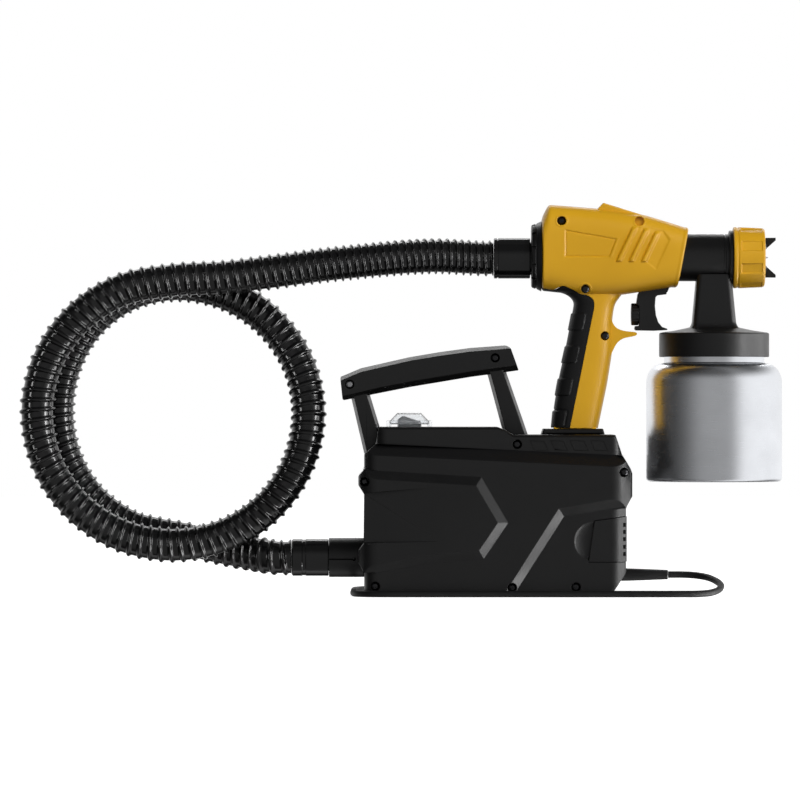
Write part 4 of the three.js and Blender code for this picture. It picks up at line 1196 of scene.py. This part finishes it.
def half_ring(width, low, high, power, count):
    """Points of a rounded section's near half, evenly spaced from its lowest to its highest point."""
    angle = np.linspace(-math.pi / 2, math.pi / 2, 400)
    y = -width * np.abs(np.cos(angle)) ** (2 / power)
    z = np.sign(np.sin(angle)) * np.abs(np.sin(angle)) ** (2 / power)
    z = (low + high) / 2 + (high - low) / 2 * z
    along = np.concatenate([[0], np.cumsum(np.hypot(np.diff(y), np.diff(z)))])
    places = np.linspace(0, along[-1], count)
    return np.interp(places, along, y), np.interp(places, along, z)


def gun_body_half(plane):
    """Near half of the gun's body, flat at y = plane."""
    stations = np.append(np.arange(GUN_BACK, GUN_FRONT, SURFACE_STEP), GUN_FRONT)
    rings = []
    for x in stations:
        lean = FRONT_LEAN * ease(x, 108, GUN_FRONT)
        high = np.interp(x + lean * 25, *table(GUN_TOP))
        low = np.interp(x - lean * 27, *table(GUN_UNDER))
        back, front = x - GUN_BACK, GUN_FRONT - x
        trim = 2.2 - math.sqrt(max(0.0, 2.2 ** 2 - (2.2 - min(back, 2.2)) ** 2))
        trim += 0.9 * (1 - min(front, 0.9) / 0.9) - 0.45 * (clamp01((3.4 - front) / 0.8))
        width = np.interp(x, [GUN_BACK, 60, 120, GUN_FRONT], [28.6, 27.4, 27.0, 24.6])
        power = np.interp(x, [GUN_BACK, 60, GUN_FRONT], [3.0, 3.8, 3.3])
        y, z = half_ring(width - trim, low + trim, high - trim, power, 170)
        across = x + lean * (z - GUN_Z)
        y = np.minimum(y + gun_relief(across, z) * ease(-y, 8, 18), plane)
        y[0], y[-1] = plane, plane
        rings.append(np.stack([across, y, z], axis=1))
    return loft("gun_body", rings)


GRIP_BACK = rounded([
    (147, 47.9), (167.6, 49.8), (192.8, 54.3), (216.1, 59.6), (250.3, 66.2), (258, 67.4), (264, 62),
    (267.5, 50.5),
    (276, 46),
], 5, 5, False)
GRIP_FRONT = rounded([
    (147, 88.4), (164.6, 92), (185.7, 96.4), (216.1, 101.2), (240, 100.6), (256, 102.8), (263, 108.5),
    (276, 116),
], 7, 5, False)
PAD_MIDDLES = [240.4, 211.6, 183.0, 154.6]


def grip_half(plane):
    """Near half of the grip, with the raised pads of its overmould."""
    rings = []
    for z in np.append(np.arange(147, 276, SURFACE_STEP), 276):
        back, front = np.interp(z, *table(GRIP_BACK)), np.interp(z, *table(GRIP_FRONT))
        y, x = half_ring(GRIP_HALF, back, front, 2.7, 96)
        slope = np.stack([np.gradient(x), np.gradient(y)], axis=1)
        slope /= np.linalg.norm(slope, axis=1)[:, None]
        raised = np.zeros(len(x))
        for middle in PAD_MIDDLES:
            u = x - (77.6 + (z - 248) * 0.2) + 2.4
            v = abs(z - middle) - 7.4 + 2.4
            away = np.hypot(np.maximum(u, 0), max(v, 0.0)) - 2.4 + np.minimum(np.maximum(u, v), 0)
            raised = np.maximum(raised, 1.1 * clamp01(0.5 - away / 0.8))
            raised = raised - 0.7 * clamp01(1 - np.abs(away - 1.0) / 0.9)
        x = x + slope[:, 1] * raised * ease(-y + 12, 0, 4)
        y = np.minimum(y - slope[:, 0] * raised, plane)
        y[0], y[-1] = plane, plane
        rings.append(np.stack([x, y, np.full(len(x), z)], axis=1))
    return loft("grip", rings)


def finger_stop():
    outline = rounded([
        (92, 246), (100.0, 243), (101.4, 238.6), (104.8, 234.4), (111.2, 232.2), (122.6, 231.2),
        (122.4, 228.2),
        (110.5, 226.0), (105.0, 222.2), (102.0, 216.5), (98, 208), (92, 208),
    ], 3.5, 5)
    return prism("y", outline, -8.5, 8.5)


def sight_fin():
    outline = rounded([(84, 333), (88.2, 340.2), (92.8, 345), (129, 333.6), (126, 326), (84, 326)], 1.0, 2)
    return prism("y", outline, -13, 13, 1.5, 2)


RUBBER_SIDE = rounded([
    (20, 120), (58.2, 120), (63.4, 147), (84.9, 253.5), (84.6, 259.6), (79, 263.8), (72.6, 264.4),
    (66, 268.4),
    (57, 272.4), (48.6, 268.0), (20, 274),
], 3.0, 4)


def gun_half(plane):
    made = join(gun_body_half(plane), grip_half(plane))
    trim = block(-FAR, FAR, plane, FAR, -FAR, FAR)
    extra = cut(join(finger_stop(), sight_fin()), trim)
    return join(made, extra)


def gun_cavity():
    chamber = prism("y", [
        (42, 271), (42, 329), (47, 337), (86, 334), (127, 329), (161, 317), (154, 275), (108, 267.5),
        (96, 266),
        (84.5, 267), (49, 273),
    ], -GUN_HALF + 6, GUN_HALF - 6, 6, 3)
    inside_grip = prism("y", [
        (58, 152), (60, 167.2), (64, 192), (69, 215.4), (75.5, 249.6), (79, 272), (95, 272), (89, 220),
        (80, 152),
    ], -9, 9)
    return join(chamber, inside_grip)


def gun_openings():
    return [
        rod("x", 18.3, 30, 60, (0, 0, HOSE_Z), 64), rod("x", 21.0, 150, 190, SPRAY_AXIS, 64),
        block(113.4, 153.8, -9.2, 9.2, 255, 285), rod("y", 2.6, -14.5, 14.5, PIVOT),
        rod("x", 2, 90, 100, SPRAY_AXIS),
    ]


def gun_shell(front):
    made = gun_half(-GAP / 2)
    cut(made, prism("y", RUBBER_SIDE, -FAR, FAR), gun_cavity(), *gun_openings())
    foot = prism("y", dock_outline(0, 130, 147.5), -13.5, 13.5, 0.8)
    join(made, cut(foot, block(-FAR, FAR, -GAP / 2, FAR, 0, FAR)))
    if front:
        there = (DIMPLE[0], 0, DIMPLE[1])
        join(made, rod("y", 4.9, -19.5, -12, there, 40))
        cut(made, *screw_wells(GUN_SCREWS, GUN_SEATS), rod("y", 4.2, -FAR, -15.5, there, 40))
        show_as(smooth(made, 44), "gun_shell_front")
    else:
        show_as(smooth(mirror(made), 44), "gun_shell_rear")


def grip_rubber():
    near = gun_half(0.05)
    overlap(near, prism("y", inset(RUBBER_SIDE, 0.3), -FAR, FAR), block(-FAR, FAR, -FAR, FAR, 147.3, FAR))
    whole = both_sides(near)
    core = prism("y", [
        (53, 140), (55, 167.2), (59.5, 192), (64.8, 215.4), (71.4, 249.6), (74, 272), (97, 272),
        (92, 220), (82, 140),
    ], -12.8, 12.8)
    cut(whole, core, rod("y", 5.4, -FAR, FAR, (GUN_SCREWS[1][0], 0, GUN_SCREWS[1][1]), 40))
    show_as(smooth(whole, 44), "grip_rubber")


# ---- Spray head ----
def rear_collar():
    flange = turned("x", [
        (15, 29.7), (26.6, 29.7), (27.6, 30.4), (28.6, 33.0), (28.1, 33.4), (28.1, 34.2), (29.0, 34.6),
        (30.9, 38.5),
        (15, 38.5),
    ], (0, 0, COLLAR_Z), 96)
    notch = block(28, 33.2, -1.1, 1.1, 25.4, 34)
    for index in range(12):
        cut(flange, spin(shifted(copy_of(notch), z=COLLAR_Z), 30 * index + 15, "X", (0, 0, COLLAR_Z)))
    bpy.data.objects.remove(notch)
    join(flange, pipe("x", 18, 15.0, 38, 54, (0, 0, HOSE_Z), 64))
    cut(flange, rod("x", 15, 20, 60, (0, 0, HOSE_Z), 64))
    show_as(soften(flange, 0.25), "rear_collar")


def gun_cuff():
    """Hose cuff with flats along it and a stop ring, ending in the spigot that swivels in the collar."""
    flats = 22
    angles = [2 * math.pi * k / flats for k in range(flats)]
    ring = [(17.9 * math.cos(angle), 17.9 * math.sin(angle)) for angle in angles]
    body = prism("x", ring, HOSE_GUN_END, 28.6, 0.8, 2)
    shifted(body, z=HOSE_Z)
    join(body, rod("x", 14.7, 28, 52, (0, 0, HOSE_Z), 64))
    cut(body, rod("x", 11, 0, 60, (0, 0, HOSE_Z), 48), pipe("x", 20, 17.1, -0.4, 0.6, (0, 0, HOSE_Z), 64))
    show_as(soften(body, 0.25, 2, 30), "hose_cuff_gun", "gloss_black")


def barrel():
    made = turned("x", [
        (15.9, 155), (20.2, 155), (20.7, 155.6), (20.7, 198.6), (20.2, 199), (20.2, 200.2),
        (20.7, 200.6), (20.7, 203.5), (23.4, 203.5), (23.9, 204.1), (23.9, 206.4), (23.4, 206.9),
        (19, 206.9), (19, 226), (15.9, 226),
    ], SPRAY_AXIS, 128)
    join(made, pipe("x", 17, 1.8, 154.5, 158, SPRAY_AXIS, 64))
    for x, size in ((170, 5), (184, 2.5), (192, 4)):
        cut(made, block(x, x + size, -3, 3, GUN_Z + 20.1, GUN_Z + 25))
    cut(made, rod("z", 2.5, GUN_Z - 30, GUN_Z - 10, (CUP_X, 0, 0), 24))
    show_as(smooth(made, 30), "barrel")


def cap_nut():
    """Ring nut with eight sunk trapezoid grips between raised ones."""
    nut = turned("x", [
        (19.4, 207.2), (26.2, 207.2), (26.9, 207.9), (26.9, 209.9), (26.4, 210.4), (26.3, 211.4),
        (26.9, 212.2),
        (26.0, 232.6), (25.2, 234.4), (24.1, 234.8), (17.1, 234.8), (16.5, 234.2), (16.5, 231.3),
        (19.4, 231.3),
    ], SPRAY_AXIS, 192)
    for index in range(8):
        pocket = prism("x", [(-4.3, 25.2), (4.3, 25.2), (5.6, 29), (-5.6, 29)], 213.6, 232.2, 0.5)
        spin(shifted(pocket, z=GUN_Z), 45 * index + 22.5)
        cut(nut, pocket)
    show_as(soften(nut, 0.4, 2, 22), "cap_nut")


def air_cap():
    """Cap with two horns whose inner sides slope towards the nozzle."""
    made = refined("air_cap")
    slopes = [(235.2, -6.8), (235.2, 6.8), (246, 16.4), (246, -16.4)]
    cut(made, shifted(prism("y", slopes, -20, 20), z=GUN_Z))
    show_as(soften(made, 0.3), "air_cap", "black_plastic")


def fluid_nozzle():
    made = cut(refined("fluid_nozzle"), block(235.0, 260, -FAR, FAR, 0, FAR))
    show(soften(made, 0.2), "fluid_nozzle_fine", "gun", node_slots["fluid_nozzle"], "fluid_nozzle")


def needle_spring():
    """Return spring, which in the real gun shortens as the needle's collar slides back onto it; here it is only
    rounded and given a mesh of its own.
    """
    spring = refined("needle_spring", 0.1, 1)
    show_as(spring, "needle_spring")
    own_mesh(spring)


def trigger():
    blade = prism("y", [
        (123.2, 264.5), (121.9, 255.9), (124.3, 254.2), (124.3, 236.8), (120.8, 236.6), (120.3, 234.2),
        (121.5, 232.8), (137.8, 232.5),
        (149.3, 233.2), (149.3, 234.2), (144.6, 235.8), (141.2, 240), (139.2, 246), (138.3, 254.2),
        (138.9, 262),
        (140.6, 263.7), (147.3, 264.8), (149.4, 266.8), (150.9, 270.3), (126, 268.5),
    ], -8.5, 8.5)
    soften(blade, 0.6, 3, 40)
    arm = [
        (128, 262), (148.4, 264.6), (151.4, 300), (151.4, 314), (148, 317), (142, 317), (138.4, 312),
        (137.3, 299),
        (137.3, 295), (140.2, 286), (132, 268),
    ]
    arms = cut(prism("y", arm, -8.5, 8.5), block(100, 170, -5.6, 5.6, 268.5, 330))
    made = join(blade, arms)
    cut(made, rod("y", 2.65, -20, 20, PIVOT), rod("x", 2.3, 110, 131, (0, 0, KNOB_Z)))
    show_as(smooth(made, 35), "trigger")


def flow_knob():
    """Knurled knob on its stud."""
    ridges = 20
    ring = []
    for k in range(ridges * 6):
        angle = 2 * math.pi * k / (ridges * 6)
        radius = 9.25 + 0.45 * clamp01(0.5 + 0.9 * math.sin(ridges * angle))
        ring.append((radius * math.cos(angle), radius * math.sin(angle)))
    knob = prism("x", ring, 117.5, 124.1, 0.9, 2)
    shifted(knob, z=KNOB_Z)
    join(knob, rod("x", 2, 123, 130.4, (0, 0, KNOB_Z)))
    cut(knob, turned("x", [(0, 110), (6.5, 110), (6.5, 117.9), (5.5, 118.4), (0, 118.4)], (0, 0, KNOB_Z), 48))
    show_as(smooth(knob, 30), "flow_knob")


# ---- Cup and lid ----
def rounded_box_ring(x, half_x, half_y, corner, z):
    points = []
    for sx, sy, start in ((1, -1, -90), (1, 1, 0), (-1, 1, 90), (-1, -1, 180)):
        for step in range(7):
            angle = math.radians(start + 15 * step)
            points.append((
                x + sx * (half_x - corner) + corner * math.cos(angle),
                sy * (half_y - corner) + corner * math.sin(angle), z,
            ))
    return points


def cup_lid():
    collar = turned("z", [
        (4, 226), (45.4, 226), (45.4, 209.4), (47.6, 209.4), (48.2, 209.7), (48.4, 210.4),
        (48.4, 229.4), (48.1, 230.2), (47.3, 230.7), (45.5, 231.1), (34, 232.8), (22, 235.4),
        (16, 236.5), (4, 236.5),
    ], (CUP_X, 0, 0), 160)
    rings = []
    for z in np.linspace(231, 282, 40):
        flare = 5.5 * max(0.0, 1 - (z - 231) / 9.5) ** 2
        left = np.interp(z, [231, 282], [170.6, 175.2]) - flare
        right = np.interp(z, [231, 282], [210.2, 205.3]) + flare
        depth = np.interp(z, [231, 282], [18.2, 16.0]) + flare
        rings.append(rounded_box_ring((left + right) / 2, (right - left) / 2, depth, 5.0, z))
    tower = loft("tower", rings)
    cut(
        tower, rod("x", 21.0, 100, 250, SPRAY_AXIS, 96), rod("x", 24.4, 203.2, 250, SPRAY_AXIS, 96),
    )
    made = join(collar, tower)
    cut(made, rod("z", 4, 200, 300, (CUP_X, 0, 0), 32))
    show_as(smooth(made, 40), "cup_lid")


def paint_cup():
    """Spun can: rounded foot, straight wall, round shoulder and threaded neck."""
    outside = [
        (0, 101.1), (48, 101.1), (50, 99.9), (56.2, 99.9), (58.2, 100.5), (59.3, 101.7), (59.7, 103.4),
        (59.7, 140),
    ]
    for step in range(13):
        angle = math.radians(7.5 * step)
        outside.append((45.2 + 14.5 * math.cos(angle), 186.8 + 17.0 * math.sin(angle)))
    outside += [(44.4, 204.3), (44.1, 205.0), (44.1, 208)]
    for turn in range(3):
        start = 209.6 + 3.6 * turn
        outside += [(44.1, start), (44.7, start + 0.8), (44.7, start + 1.4), (44.1, start + 2.2)]
    outside += [(44.1, 221.4), (43.9, 222), (43.1, 222)]
    inside = [(radius - 1.2, z + 1.2 if z < 102 else z) for radius, z in outside[2:24]]
    profile = outside + [(42.9, 221.4), *inside[::-1], (0, 102.5)]
    cup = turned("z", profile, (CUP_X, 0, 0), 160)
    flag_lights(strips, cup, "EXCLUDE")
    show_as(smooth(cup, 40), "paint_cup")


# ---- Everything in place ----
air_hose()
carry_handle(copy_of(casing))
switch()
outlet_port(casing)
relief = strain_relief()
lead, lead_exit = mains_lead()
tie = coil_tie()
all_screws()
gun_shell(front=True)
gun_shell(front=False)
grip_rubber()
rear_collar()
gun_cuff()
barrel()
cap_nut()
air_cap()
fluid_nozzle()
needle_spring()
trigger()
flow_knob()
cup_lid()
paint_cup()

# Pieces whose CAD shape is right, with their edges rounded: (node, width of the rounding)
REFINED = [("dock_socket", 0.5), ("plug", 0.6), *[(f"foot_{number}", 0.4) for number in range(1, 5)]]
for node, width in REFINED:
    show_as(refined(node, width), node)
for name, node in frame["nodes"].items():
    node.data.materials.clear()
    node.data.materials.append(FINISHES[node_slots[name]])
